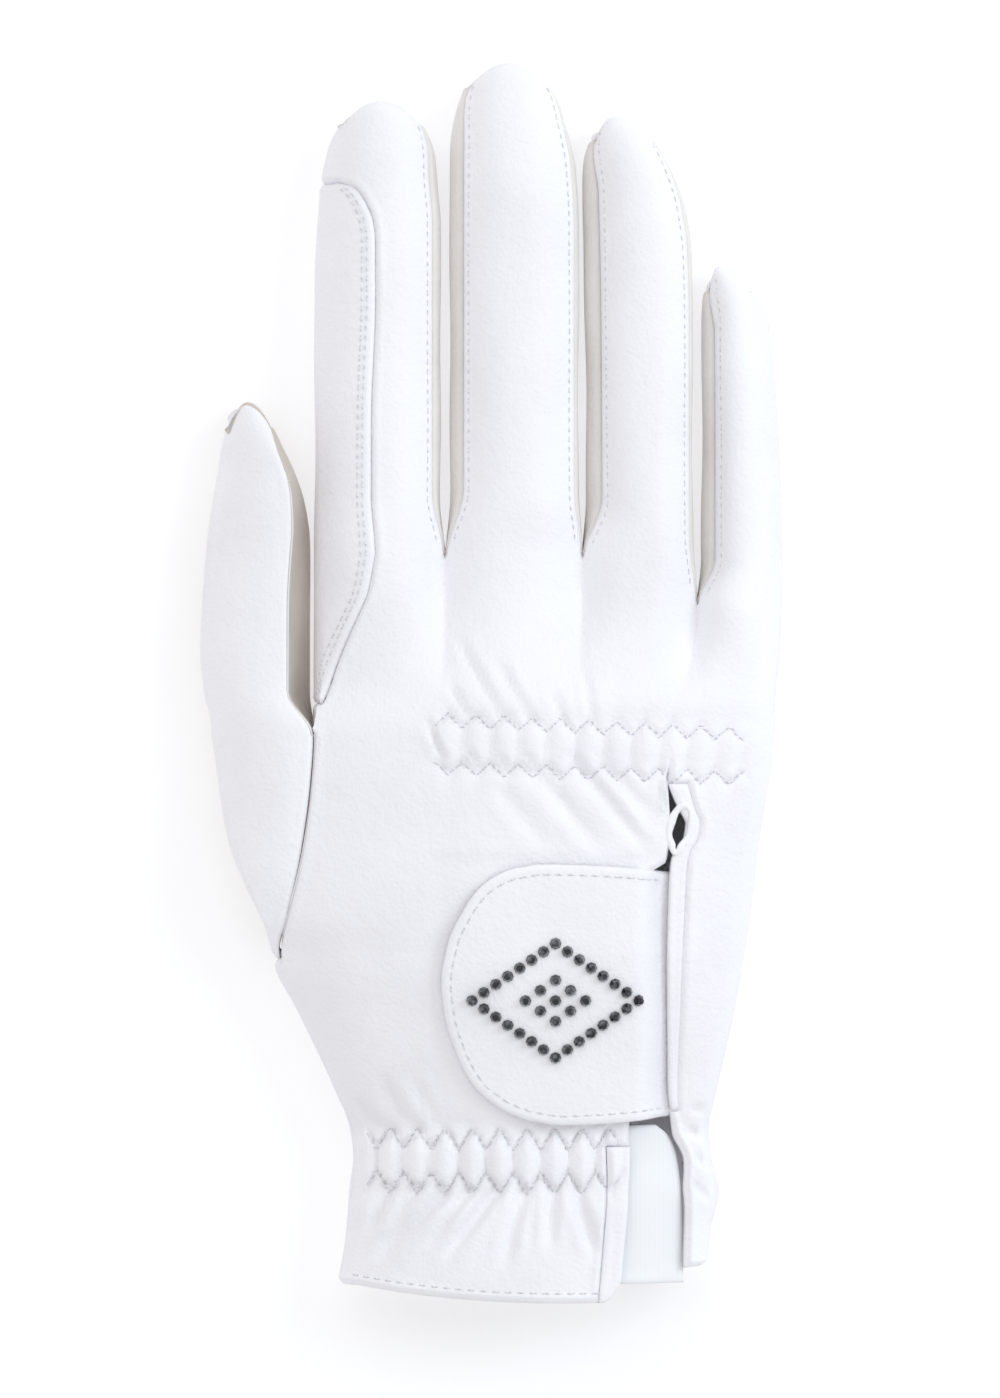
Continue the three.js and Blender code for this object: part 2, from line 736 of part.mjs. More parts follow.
const hand_end = handSection(1);
const web_back = web_corner * hand_end.top;
const web_palm = web_palm_corner * hand_end.top;

function webNotch(x, steps) {
  return { x, y: handLevel(1, x), back: web_back, palm: web_palm, roll: 0, steps };
}

const side_notches = {
  left: {
    x: hand_end.left_corner,
    y: handLevel(1, hand_end.left_corner),
    back: hand_end.top * hand_end.shoulders[0],
    palm: hand_end.top * hand_end.heels[0],
    roll: hand_end.left_corner - hand_end.left,
    steps: outer_side_steps,
  },
  right: {
    x: hand_end.right_corner,
    y: handLevel(1, hand_end.right_corner),
    back: hand_end.top * hand_end.shoulders[1],
    palm: hand_end.top * hand_end.heels[1],
    roll: hand_end.right - hand_end.right_corner,
    steps: outer_side_steps,
  },
};
const webs = [-middle_reach, middle_reach, ring_little_web].map((x) => webNotch(x, web_side_steps));

// The thumb grows out of the hand's left side. Its left edge starts on the hand's own edge.
function thumbRootEdge(section) {
  const grown = smooth(section.along, hand_rows[thumb_start], hand_rows[thumb_notch]);
  const roll = lerp(section.left_corner - section.left, finger_roll * thumb.rolls[0], grown);
  const edge = section.left_corner - thumb_width * read(THUMB_ROOT, 'reach', section.along);
  const thumb_top = thumb_height * PROFILE[0].top;
  return {
    edge,
    x: edge + roll * smooth(section.along, hand_rows[thumb_start], hand_rows[thumb_start + 1]),
    back: lerp(section.top * section.shoulders[0], thumb_top * thumb.corners[0], grown),
    palm: lerp(section.top * section.heels[0], thumb_top * palm_corner, grown),
    crown: thumb.crown * thumb_top * grown,
  };
}

const [thumb, index_finger, middle_finger, ring_finger, little_finger] = FINGERS;
const notch_section = handSection(hand_rows[thumb_notch]);
const thumb_root = thumbRootEdge(notch_section);
const notch_level = handLevel(notch_section.along, notch_section.left_corner);
const NOTCHES = new Map([
  [thumb, [
    { ...thumb_root, y: notch_level, roll: thumb_root.x - thumb_root.edge, steps: outer_side_steps },
    {
      x: notch_section.left_corner,
      y: notch_level,
      back: notch_section.top * notch_section.shoulders[0],
      palm: notch_section.top * notch_section.heels[0],
      roll: 0,
      steps: outer_side_steps,
    },
  ]],
  [index_finger, [side_notches.left, webs[0]]],
  [middle_finger, [webs[0], webs[1]]],
  [ring_finger, [webs[1], webs[2]]],
  [little_finger, [webs[2], side_notches.right]],
]);
const hand_fingers = [index_finger, middle_finger, ring_finger, little_finger];
const starts = new Map(FINGERS.map((finger) => [finger, fingerSection(finger, 0, NOTCHES.get(finger))]));

// One row of the hand: the back on each side of the slit line, the palm, and the two sides.
function handRow(row) {
  const section = handSection(hand_rows[row]);
  if (row === last_hand_row) {
    const parts = hand_fingers.map((finger) => starts.get(finger));
    return {
      back_left: parts.slice(0, 3).flatMap((part, place) => (place ? part.back.slice(1) : part.back)),
      back_right: parts[3].back,
      palm: [...parts].reverse().flatMap((part, place) => (place ? part.palm.slice(1) : part.palm)),
      right: parts[3].right,
      left: parts[0].left,
    };
  }
  const blend = smooth(section.along, knuckle_start, 1);
  const lines = backLines(section);
  const spans = [
    [lines.webs[0], lines.webs[1]],
    [lines.webs[1], lines.webs[2]],
    [lines.webs[2], lines.slit[0]],
    [lines.slit[1], lines.end],
  ];
  let column = 0;
  const backs = hand_fingers.map((finger, place) => {
    const shares = finger === index_finger
      ? indexShares(read(PATCH_HAND, 'share', section.along))
      : finger.shares(0);
    return shares.map((share, step) => {
      const x = lerp(spans[place][0], spans[place][1], share);
      column += step > 0 ? 1 : 0;
      const height = lerp(backHeight(section, x), starts.get(finger).back[step].z, blend);
      const y = handLevel(section.along, x);
      return new THREE.Vector3(x, y, height - gathers(section.along, x, column));
    });
  });
  const palm_lines = palmLines(section);
  const palms = hand_fingers.map((finger, place) => PALM_SHARES.map((share, step) => {
    const x = lerp(palm_lines[place], palm_lines[place + 1], share);
    const start = starts.get(finger).palm[PALM_SHARES.length - 1 - step];
    const height = lerp(palmHeight(section, x), start.z, blend);
    return new THREE.Vector3(x, handLevel(section.along, x), height);
  }).reverse()).reverse();
  const palm = palms.flatMap((part, place) => (place ? part.slice(1) : part));
  const back_left = backs.slice(0, 3).flatMap((part, place) => (place ? part.slice(1) : part));
  const back_right = backs[3];
  const back_end = back_right[back_right.length - 1];
  return {
    back_left,
    back_right,
    palm,
    right: sideRow(back_end, palm[0], section.right, outer_side_steps),
    left: sideRow(palm[palm.length - 1], back_left[0], section.left, outer_side_steps),
  };
}

// The thumb's root beside a row of the hand. In its first row it is only the hand's own side.
function thumbRootRow(row, hand) {
  const back_corner = hand.back_left[0];
  const palm_corner_point = hand.palm[hand.palm.length - 1];
  if (row === thumb_start) {
    return {
      back: BACK_SHARES.thumb.map(() => back_corner),
      palm: PALM_SHARES.map(() => palm_corner_point),
      left: hand.left,
    };
  }
  if (row === thumb_notch) {
    return starts.get(thumb);
  }
  const section = handSection(hand_rows[row]);
  const edge = thumbRootEdge(section);
  const back = BACK_SHARES.thumb.map((share) => new THREE.Vector3(
    lerp(edge.x, back_corner.x, share),
    back_corner.y,
    lerp(edge.back, back_corner.z, share) + edge.crown * (1 - bow(share, BOWS.finger)),
  ));
  const palm = PALM_SHARES.map((share) => new THREE.Vector3(
    lerp(edge.x, palm_corner_point.x, share),
    palm_corner_point.y,
    lerp(edge.palm, palm_corner_point.z, share) * bow(share, BOWS.palm),
  )).reverse();
  back[back.length - 1].copy(back_corner);
  palm[0].copy(palm_corner_point);
  return { back, palm, left: sideRow(palm[palm.length - 1], back[0], edge.edge, outer_side_steps) };
}

const half_and_half = (first, second) => [first, first, second, second];

function handPieces(row) {
  const in_patch = row >= patch_start;
  const index_columns = BACK_SHARES.middle.length - 1;
  const ring_columns = BACK_SHARES.ring.length - 1;
  const left_columns = index_columns * 2 + ring_columns;
  const back_left = new Array(left_columns).fill('back_panel');
  if (in_patch) {
    back_left.fill('index_side_panel', 0, PATCH_COLUMNS);
  }
  if (row < facing_end) {
    back_left.fill('cuff_facing', left_columns - FACING_COLUMNS);
  }
  const back_right = new Array(BACK_SHARES.little.length - 1).fill('back_panel');
  if (row >= strip_start && row < slit_top) {
    back_right[0] = 'slit_strip';
  }
  const palm = new Array(hand_fingers.length * (PALM_SHARES.length - 1)).fill('palm_panel');
  if (in_patch) {
    palm[palm.length - 1] = 'index_side_panel';
  }
  return {
    back_left,
    back_right,
    palm,
    right: half_and_half('back_panel', 'palm_panel'),
    left: in_patch
      ? new Array(outer_side_steps).fill('index_side_panel')
      : half_and_half('palm_panel', 'back_panel'),
  };
}

function fingerPieces(finger, row) {
  const place = FINGERS.indexOf(finger);
  const is_thumb = finger === thumb;
  const in_patch = finger === index_finger && row < patch_end;
  const back_name = is_thumb ? 'thumb_back' : 'back_panel';
  const palm_name = is_thumb ? 'thumb_front' : 'palm_panel';
  const back = new Array(finger.shares(0).length - 1).fill(back_name);
  const palm = new Array(finger.shares(0).length).fill(palm_name);
  if (in_patch) {
    back.fill('index_side_panel', 0, PATCH_COLUMNS);
    palm[PALM_SHARES.length - 2] = 'index_side_panel';
  }
  const webs_between = ['fourchette_index_middle', 'fourchette_middle_ring', 'fourchette_ring_little'];
  const left_web = webs_between[place - 2];
  const right_web = webs_between[place - 1];
  const left_outer = in_patch
    ? new Array(outer_side_steps).fill('index_side_panel')
    : half_and_half(palm_name, back_name);
  return {
    back,
    palm,
    left: left_web ? new Array(web_side_steps).fill(left_web) : left_outer,
    right: finger === little_finger
      ? half_and_half(back_name, palm_name)
      : new Array(is_thumb ? outer_side_steps : web_side_steps).fill(is_thumb ? palm_name : right_web),
  };
}

function buildSkin() {
  const skin = new Skin();
  const rows = hand_rows.map((_, row) => handRow(row));
  const joinParts = (lower, upper, pieces) => {
    for (const part of Object.keys(pieces)) {
      skin.join(lower[part], upper[part], pieces[part]);
    }
  };
  for (let row = 0; row < last_hand_row; row += 1) {
    const pieces = handPieces(row);
    if (row >= thumb_start && row < thumb_notch) {
      delete pieces.left;
      const { back, palm, left } = fingerPieces(thumb, 0);
      palm.length = PALM_SHARES.length - 1;
      joinParts(thumbRootRow(row, rows[row]), thumbRootRow(row + 1, rows[row + 1]), { back, palm, left });
    }
    joinParts(rows[row], rows[row + 1], pieces);
  }
  for (const finger of FINGERS) {
    const notches = NOTCHES.get(finger);
    const sections = finger_rows.map((along) => fingerSection(finger, along, notches));
    for (let row = 0; row + 1 < sections.length; row += 1) {
      joinParts(sections[row], sections[row + 1], fingerPieces(finger, row));
    }
  }
  return skin;
}

const leather_material = new THREE.MeshStandardMaterial({
  color: LEATHER_COLOR,
  roughness: LEATHER_ROUGHNESS,
  metalness: 0,
});
const stretch_material = new THREE.MeshStandardMaterial({
  color: STRETCH_COLOR,
  roughness: STRETCH_ROUGHNESS,
  metalness: 0,
});
const stone_material = new THREE.MeshStandardMaterial({
  color: STONE_COLOR,
  roughness: STONE_ROUGHNESS,
  metalness: STONE_METALNESS,
});

const glove = new THREE.Group();
function add(name, geometry, material) {
  const mesh = new THREE.Mesh(geometry, material);
  mesh.name = name;
  glove.add(mesh);
  return mesh;
}

const skin = buildSkin();
const normals = skin.normals();
const LEATHER_PIECES = [
  'back_panel', 'palm_panel', 'thumb_back', 'thumb_front', 'fourchette_index_middle',
  'fourchette_middle_ring', 'fourchette_ring_little', 'index_side_panel', 'slit_strip', 'cuff_facing',
];
for (const piece of LEATHER_PIECES) {
  add(piece, pieceGeometry(skin, normals, piece), leather_material);
}

const backAt = (x, y) => backHeight(handSection(y / hand_length), x);

// The closure tab lies over the back and dips under the strip beside the slit.
const tab_root = right_reach * read(SLIT, 'right', tab_root_along) + slit_shift;
const tab_bottom = hand_length * tab_place;
const tab_dip = tab_clearance + tab_thickness + leather + tab_tuck_clearance;
const tab_free = (share) => tab_root - tab_length * read(TAB_EDGE, 'reach', share);
const tabUnder = (x, y) => {
  const dip = tab_dip * smooth(x, tab_root - tab_dip_start, tab_root - tab_dip_end);
  return backAt(x, y) + tab_clearance - dip;
};
const tabPoint = (share, row, lift) => {
  const x = lerp(tab_free(row), tab_root + tab_tuck, share);
  const pinch = 1 - tab_pinch * share * share;
  const y = tab_bottom + tab_width * (0.5 + (row - 0.5) * pinch);
  return new THREE.Vector3(x, y, tabUnder(x, y) + lift);
};
const tab_rows = TAB_EDGE.map((edge) => edge.along);
add('closure_tab', sheetGeometry(
  (share, row) => tabPoint(share, row, 0),
  (share, row) => tabPoint(share, row, tab_thickness),
  tab_columns,
  tab_rows,
), leather_material);

// The underlap hangs below the slit, clear of the gathers above it.
const gusset_left = right_reach * gusset_left_share;
const gusset_depth = leather + gusset_clearance + shirr_depth + gather_depth;
const gussetPoint = (share, row, lift) => {
  const x = lerp(gusset_left, right_reach * read(GUSSET_EDGE, 'right', row), share);
  const y = gusset_start + gusset_length * row;
  return new THREE.Vector3(x, y, backAt(x, y) - gusset_depth - gusset_thickness + lift);
};
add('wrist_gusset', sheetGeometry(
  (share, row) => gussetPoint(share, row, 0),
  (share, row) => gussetPoint(share, row, gusset_thickness),
  gusset_columns,
  GUSSET_EDGE.map((edge) => edge.along),
), stretch_material);

// Faceted stones in a plain lozenge, one inside the other, on the tab.
const stone = new THREE.CylinderGeometry(
  stone_width * stone_table / 2,
  stone_width / 2,
  stone_height,
  STONE_SIDES,
);
stone.rotateX(Math.PI / 2);
const motif_x = tab_root - tab_length * motif_place_x;
const motif_y = tab_bottom + tab_width * motif_place_y;
function lozenge(scale, steps) {
  const corners = [[1, 0], [0, 1], [-1, 0], [0, -1]];
  return corners.flatMap((corner, place) => {
    const next = corners[(place + 1) % corners.length];
    return Array.from({ length: steps }, (_, step) => [
      scale * motif_width / 2 * lerp(corner[0], next[0], step / steps),
      scale * motif_height / 2 * lerp(corner[1], next[1], step / steps),
    ]);
  });
}
const places = [
  ...lozenge(1, LOZENGE_STEPS),
  ...lozenge(inner_lozenge, INNER_LOZENGE_STEPS),
  [0, 0],
];
places.forEach(([u, w], number) => {
  const x = motif_x + u;
  const y = motif_y + w;
  const top = (dx, dy) => new THREE.Vector3(
    x + dx,
    y + dy,
    tabUnder(x + dx, y + dy) + tab_thickness + stone_clearance,
  );
  const along_x = top(0.5, 0).sub(top(-0.5, 0));
  const along_y = top(0, 0.5).sub(top(0, -0.5));
  const normal = new THREE.Vector3().crossVectors(along_x, along_y).normalize();
  const mesh = add(`crystal_${String(number + 1).padStart(2, '0')}`, stone, stone_material);
  mesh.quaternion.setFromUnitVectors(new THREE.Vector3(0, 0, 1), normal);
  mesh.position.copy(top(0, 0)).addScaledVector(normal, stone_height / 2);
});

// The origin is under the middle of the glove, on the surface that it lies on.
const box = new THREE.Box3().setFromObject(glove, true);
const middle = box.getCenter(new THREE.Vector3());
glove.position.set(-middle.x, -middle.y, -box.min.z);

export default glove;
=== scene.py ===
"""A right-hand riding glove in white leather, lying palm down, dressed over its solids."""
import logging
import math
from dataclasses import dataclass, field
from enum import Enum
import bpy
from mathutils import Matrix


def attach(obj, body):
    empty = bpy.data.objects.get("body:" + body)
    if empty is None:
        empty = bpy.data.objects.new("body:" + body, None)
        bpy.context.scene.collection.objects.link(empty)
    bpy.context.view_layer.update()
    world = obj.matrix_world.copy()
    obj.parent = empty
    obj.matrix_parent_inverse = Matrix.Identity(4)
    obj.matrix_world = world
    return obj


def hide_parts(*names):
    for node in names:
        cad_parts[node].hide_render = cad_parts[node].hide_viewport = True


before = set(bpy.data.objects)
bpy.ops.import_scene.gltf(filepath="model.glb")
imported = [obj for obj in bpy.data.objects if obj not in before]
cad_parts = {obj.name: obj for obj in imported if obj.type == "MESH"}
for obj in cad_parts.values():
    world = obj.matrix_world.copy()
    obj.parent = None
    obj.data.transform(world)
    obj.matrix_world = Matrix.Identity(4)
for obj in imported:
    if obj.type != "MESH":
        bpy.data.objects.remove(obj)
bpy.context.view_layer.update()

from types import SimpleNamespace

import bpy
import numpy as np
from mathutils import Vector
from mathutils.bvhtree import BVHTree

MM = 0.001
Values = float | np.ndarray
log = logging.getLogger("riding_glove")

# Key places along the hand, as shares of its length from the hem to the notches.
FACING_TOP = 0.198
STRIP_START = 0.245
THUMB_START = 0.451
THUMB_OUT = 0.505
SLIT_TOP = 0.69
THUMB_NOTCH = 0.756
REIN_START = 0.8
# The rein patch's upper end, along the index finger.
REIN_END = 0.86
# The elastics, along the hand: two at the wrist and two at the knuckles.
WRIST_ELASTICS = (0.141, 0.217)
KNUCKLE_ELASTICS = (0.712, 0.776)
# Creases stand this many times as deep as their rows say.
FOLD_GAIN = 1.35
# Patches are joined at points that round to the same step, in millimetres.
WELD_STEP = 0.004
# Points whose distances are worked out at once.
CHUNK = 1500


def lerp(start: Values, end: Values, share: Values) -> Values:
    """Return the value a share of the way from start to end."""
    return start + (end - start) * share


def smooth(value: Values, start: Values, end: Values) -> Values:
    """Return 0 before start, 1 after end, and 3t^2 - 2t^3 of the way t between them."""
    t = np.clip((value - start) / (end - start), 0.0, 1.0)
    return t * t * (3.0 - 2.0 * t)


def bow(share: Values, power: float) -> Values:
    """Return 1 at both edges and 0 in the middle: the distance from it, raised to a power."""
    return np.abs(2.0 * share - 1.0) ** power


def bell(distance: Values, width: float) -> Values:
    """Return a bump that is 1 at distance 0 and fades over width."""
    return np.exp(-((distance / width) ** 2))


@dataclass(frozen=True)
class Table:
    """Rows of chosen values along one direction, read as smooth curves."""

    columns: str
    rows: tuple

    def read(self, column: str, at: Values) -> np.ndarray:
        """Read a column through a cubic between its rows that never overshoots them.

        Args:
            column: Name of the column.
            at: Places along the table, in any array shape.

        Returns:
            The values, in the same shape.
        """
        grid = np.array(self.rows, dtype=float).T
        x, y = grid[0], grid[self.columns.split().index(column)]
        slope = np.diff(y) / np.diff(x)
        before, after = slope[:-1], slope[1:]
        same = before * after > 0
        inner = np.where(same, 2 * before * after / np.where(same, before + after, 1.0), 0.0)
        tangent = np.concatenate([slope[:1], inner, slope[-1:]])
        place = np.clip(np.asarray(at, dtype=float), x[0], x[-1])
        row = np.clip(np.searchsorted(x, place) - 1, 0, len(x) - 2)
        span = x[row + 1] - x[row]
        t = (place - x[row]) / span
        curve = y[row] * (1 + 2 * t) * (1 - t) ** 2 + y[row + 1] * t * t * (3 - 2 * t)
        return curve + span * (tangent[row] * t * (1 - t) ** 2 - tangent[row + 1] * t * t * (1 - t))


HAND = Table("along left right top shoulder heel roll", (
    (0.0, 0.88, 0.72, 0.84, 0.6, 0.2, 1), (0.07, 0.84, 0.735, 0.82, 0.6, 0.2, 1),
    (0.141, 0.822, 0.768, 0.8, 0.6, 0.2, 1), (0.179, 0.803, 0.737, 0.79, 0.6, 0.2, 1),
    (0.217, 0.82, 0.73, 0.8, 0.6, 0.2, 1), (0.285, 0.915, 0.765, 0.86, 0.58, 0.2, 1),
    (0.38, 1.08, 0.825, 0.94, 0.52, 0.2, 0.9), (0.451, 1.2, 0.858, 0.98, 0.48, 0.17, 0.4),
    (0.505, 1.14, 0.882, 0.99, 0.62, 0.09, 0), (0.6, 1.06, 0.912, 1.0, 0.72, 0.06, 0),
    (0.69, 1.015, 0.95, 1.0, 0.76, 0.07, 0), (0.756, 1.0, 0.973, 0.99, 0.75, 0.1, 0),
    (0.83, 1.0, 0.978, 0.95, 0.66, 0.2, 0.7), (0.91, 1.0, 0.99, 0.88, 0.64, 0.2, 0.8),
    (1.0, 1.0, 1.0, 0.8, 0.64, 0.2, 0.8),
))
THUMB_ROOT = Table("along reach", (
    (0.451, 0.0), (0.505, 0.23), (0.546, 0.44), (0.6, 0.67), (0.66, 0.82), (0.756, 0.97),
))
SLIT = Table("along left right", (
    (0.0, 0.4, 0.645), (0.126, 0.428, 0.65), (0.179, 0.434, 0.645), (0.217, 0.435, 0.605),
    (0.285, 0.437, 0.582), (0.45, 0.445, 0.577), (0.56, 0.452, 0.583), (0.583, 0.565, 0.587),
    (0.6, 0.578, 0.602), (0.616, 0.592, 0.634), (0.636, 0.592, 0.642), (0.655, 0.582, 0.615),
    (0.69, 0.575, 0.575),
))
PROFILE = Table("along top bottom bulge", (
    (0.0, 1.26, 0.0, 0), (0.14, 1.12, 0.03, 0), (0.45, 1.0, 0.06, 0), (0.76, 0.97, 0.03, 0),
    (0.86, 0.93, 0.0, 0.1), (0.92, 0.88, 0.0, 0.4), (0.965, 0.79, 0.09, 0.8),
    (0.985, 0.71, 0.2, 0.9), (1.0, 0.56, 0.56, 0),
))
INDEX_EDGES = Table("along left right", (
    (0.0, 1.0, 1.0), (0.63, 1.0, 1.0), (0.77, 0.95, 1.0), (0.86, 0.9, 0.95),
    (0.92, 0.82, 0.91), (0.965, 0.73, 0.83), (1.0, 0.62, 0.7),
))
MIDDLE_EDGES = Table("along left right", (
    (0.0, 1.0, 1.0), (0.7, 1.0, 1.0), (0.83, 1.0, 0.95), (0.875, 0.99, 0.89),
    (0.92, 0.95, 0.8), (0.965, 0.87, 0.7), (1.0, 0.76, 0.53),
))
RING_EDGES = Table("along left right", (
    (0.0, 1.0, 1.0), (0.6, 1.03, 1.0), (0.75, 1.05, 0.97), (0.85, 1.07, 0.86),
    (0.9, 1.07, 0.73), (0.95, 1.05, 0.52), (1.0, 0.95, 0.26),
))
LITTLE_EDGES = Table("along left right", (
    (0.0, 1.0, 1.0), (0.2, 1.0, 1.04), (0.45, 1.0, 0.99), (0.7, 1.0, 0.87),
    (0.83, 1.0, 0.76), (0.9, 1.0, 0.69), (0.965, 0.97, 0.5), (1.0, 0.92, 0.25),
))
THUMB_EDGES = Table("along left right", (
    (0.0, 0.86, 1.0), (0.14, 1.0, 1.0), (0.27, 1.07, 1.0), (0.44, 1.03, 1.0),
    (0.63, 0.94, 0.98), (0.76, 0.84, 0.88), (0.86, 0.74, 0.7), (0.93, 0.68, 0.5),
    (1.0, 0.6, 0.3),
))
TAB_EDGE = Table("along reach", (
    (0.0, 0.5), (0.02, 0.62), (0.07, 0.75), (0.16, 0.865), (0.28, 0.935), (0.42, 0.985),
    (0.55, 1.0), (0.7, 0.97), (0.83, 0.9), (0.92, 0.82), (0.98, 0.7), (1.0, 0.58),
))
GUSSET_EDGE = Table("along right", (
    (0.0, 0.635), (0.25, 0.635), (0.55, 0.63), (0.8, 0.612), (0.93, 0.58), (1.0, 0.53),
))
PATCH_HAND = Table("along share", (
    (0.8, 0.02), (0.845, 0.09), (0.884, 0.18), (0.92, 0.28), (0.95, 0.36), (1.0, 0.42),
))
PATCH_FINGER = Table("along share", (
    (0.0, 0.42), (0.3, 0.42), (0.6, 0.46), (0.72, 0.45), (0.77, 0.42), (0.81, 0.35),
    (0.838, 0.26), (0.852, 0.16), (0.86, 0.05), (1.0, 0.3),
))


class FingerName(Enum):
    """The five fingers, from the thumb."""

    THUMB = "thumb"
    INDEX = "index"
    MIDDLE = "middle"
    RING = "ring"
    LITTLE = "little"


@dataclass(frozen=True)
class Notch:
    """Where one side of a finger starts: its place, two heights, and how far it rolls in."""

    x: float
    y: float
    back: float
    palm: float
    roll: float = 0.0


@dataclass(frozen=True)
class Finger:
    """One finger's sizes in millimetres, and the shares that form it."""

    edges: Table
    width: float
    length: float
    height: float
    center: float
    apex: float
    corners: tuple[float, float]
    crown: float
    rolls: tuple[float, float]
    tip: tuple[float, float] = (0.56, 0.56)


@dataclass
class GloveForm:
    """The whole outer skin as formulas, from the same sizes as the solids, in millimetres.

    x is measured from the middle finger's centre line and y from the hem. origin_x and
    origin_y move that to the solids' own origin.
    """

    origin_x: float = 4.481
    origin_y: float = -117.694
    leather: float = 1.2
    hand_length: float = 142.0
    hand_height: float = 27.0
    hand_roll: float = 2.5
    hem_drop: float = 3.1
    hem_lift: float = 5.5
    hem_middle: float = 0.2
    finger_gap: float = 1.6
    thumb_gap: float = 0.8
    finger_roll: float = 1.6
    tip_round: float = 4.4
    little_notch_drop: float = 9.1
    little_side_drop: float = 12.0
    shirr_depth: float = 1.1
    right_shoulder: float = 0.64
    right_heel: float = 0.2
    fingers: dict = field(init=False)
    notches: dict = field(init=False)

    def __post_init__(self) -> None:
        """Work out the reaches of the hand, the fingers and where each of them starts."""
        name = FingerName
        self.middle_reach = (25.0 + self.finger_gap) / 2
        self.left_reach = self.middle_reach + self.finger_gap / 2 + 24.5
        self.right_reach = self.middle_reach + 20.6 + 1.5 * self.finger_gap + 15.4
        self.ring_little_web = self.middle_reach + 20.6 + self.finger_gap
        gap, reach = self.finger_gap / 2, self.middle_reach
        self.fingers = {
            name.THUMB: Finger(THUMB_EDGES, 20.8, 64.0, 17.0,
                               -self.left_reach - self.thumb_gap - 10.4, -0.2, (0.52, 0.9),
                               0.12, (1.3, 2.5), (0.42, 0.6)),
            name.INDEX: Finger(INDEX_EDGES, 24.5, 88.0, 17.0, -reach - gap - 12.25,
                               0.05, (0.64, 0.72), 0.32, (1.3, 0.8)),
            name.MIDDLE: Finger(MIDDLE_EDGES, 25.0, 95.3, 17.5, 0.0,
                                -0.09, (0.66, 0.76), 0.29, (1.5, 0.3)),
            name.RING: Finger(RING_EDGES, 20.6, 84.9, 16.5, reach + gap + 10.3,
                              -0.5, (0.62, 0.76), 0.31, (1.7, 0.3)),
            name.LITTLE: Finger(LITTLE_EDGES, 15.4, 65.0, 14.5, self.ring_little_web + gap + 7.7,
                                -0.72, (0.64, 0.64), 0.36, (1.5, 1.1)),
        }
        end = self.section(np.array(1.0))
        webs = [Notch(x, float(self.level(1.0, x)), 0.58 * float(end.top), 0.12 * float(end.top))
                for x in (-reach, reach, self.ring_little_web)]
        left = Notch(float(end.left_corner), float(self.level(1.0, end.left_corner)),
                     float(end.top * end.shoulders[0]), float(end.top * end.heels[0]),
                     float(end.left_corner - end.left))
        right = Notch(float(end.right_corner), float(self.level(1.0, end.right_corner)),
                      float(end.top * end.shoulders[1]), float(end.top * end.heels[1]),
                      float(end.right - end.right_corner))
        root = self.thumb_root(np.array(THUMB_NOTCH))
        side = self.section(np.array(THUMB_NOTCH))
        start = float(self.level(THUMB_NOTCH, side.left_corner))
        self.notches = {
            name.INDEX: (left, webs[0]), name.MIDDLE: (webs[0], webs[1]),
            name.RING: (webs[1], webs[2]), name.LITTLE: (webs[2], right),
            name.THUMB: (
                Notch(float(root.x), start, float(root.back), float(root.palm),
                      float(root.x - root.edge)),
                Notch(float(side.left_corner), start, float(side.top * side.shoulders[0]),
                      float(side.top * side.heels[0])),
            ),
        }

    def section(self, along: Values) -> SimpleNamespace:
        """Return the hand's outline, corners and heights at each place along it.

        Args:
            along: Places along the hand, from 0 at the hem to 1 at the notches.

        Returns:
            The edges and corners, the top, and each side's shoulder and heel as shares of it.
        """
        top = self.hand_height * HAND.read("top", along)
        left = -self.left_reach * HAND.read("left", along)
        right = self.right_reach * HAND.read("right", along)
        right_roll = self.hand_roll * lerp(0.35, 1.0, smooth(along, 0.05, 0.35))
        return SimpleNamespace(
            along=along, top=top, left=left, right=right,
            left_corner=left + self.hand_roll * HAND.read("roll", along),
            right_corner=right - right_roll,
            shoulders=(HAND.read("shoulder", along), self.right_shoulder),
            heels=(HAND.read("heel", along), self.right_heel),
        )

    def back_height(self, cut: SimpleNamespace, x: Values) -> np.ndarray:
        """Height of the back: a line between its shoulders, plus a crown that bows over it.

        Args:
            cut: Sections of the hand.
            x: Places across them, in millimetres.

        Returns:
            The heights, in millimetres.
        """
        share = (x - cut.left_corner) / (cut.right_corner - cut.left_corner)
        rise = 1 - (cut.shoulders[0] + cut.shoulders[1]) / 2
        return cut.top * (lerp(*cut.shoulders, share) + rise * (1 - bow(share, 2.5)))

    def palm_height(self, cut: SimpleNamespace, x: Values) -> np.ndarray:
        """Height of the palm: flat in the middle, then rising with the cube of the distance.

        Args:
            cut: Sections of the hand.
            x: Places across them, in millimetres.

        Returns:
            The heights, in millimetres.
        """
        share = (x - cut.left_corner) / (cut.right_corner - cut.left_corner)
        beyond = np.maximum(0, np.abs(2 * share - 1) - 0.35) / 0.65
        return cut.top * lerp(*cut.heels, share) * beyond ** 3

    def level(self, along: Values, x: Values) -> np.ndarray:
        """Distance from the hem line: the way along, plus the hem's curve, less the notch's drop.

        Args:
            along: Places along the hand, from 0 at the hem to 1 at the notches.
            x: Places across it, in millimetres.

        Returns:
            Each point's y, in millimetres.
        """
        share = np.clip(x / self.right_reach, -1, 1)
        fade = 1 - smooth(along, 0, 0.14)
        off = (share - self.hem_middle) / (1 - self.hem_middle)
        corner = smooth(share, 0.33, 0.45) * (1.15 - 0.15 * smooth(share, 0.5, 0.64))
        hem = self.hem_drop * (off * off - 0.6) + self.hem_lift * corner
        run = (x - self.middle_reach) / (self.ring_little_web - self.middle_reach)
        drop = self.little_notch_drop * np.clip(run, 0, 1)
        drop = drop + (self.little_side_drop - self.little_notch_drop) * smooth(
            x, self.ring_little_web, self.right_reach)
        return self.hand_length * along + hem * fade - drop * smooth(along, 0.75, 1)

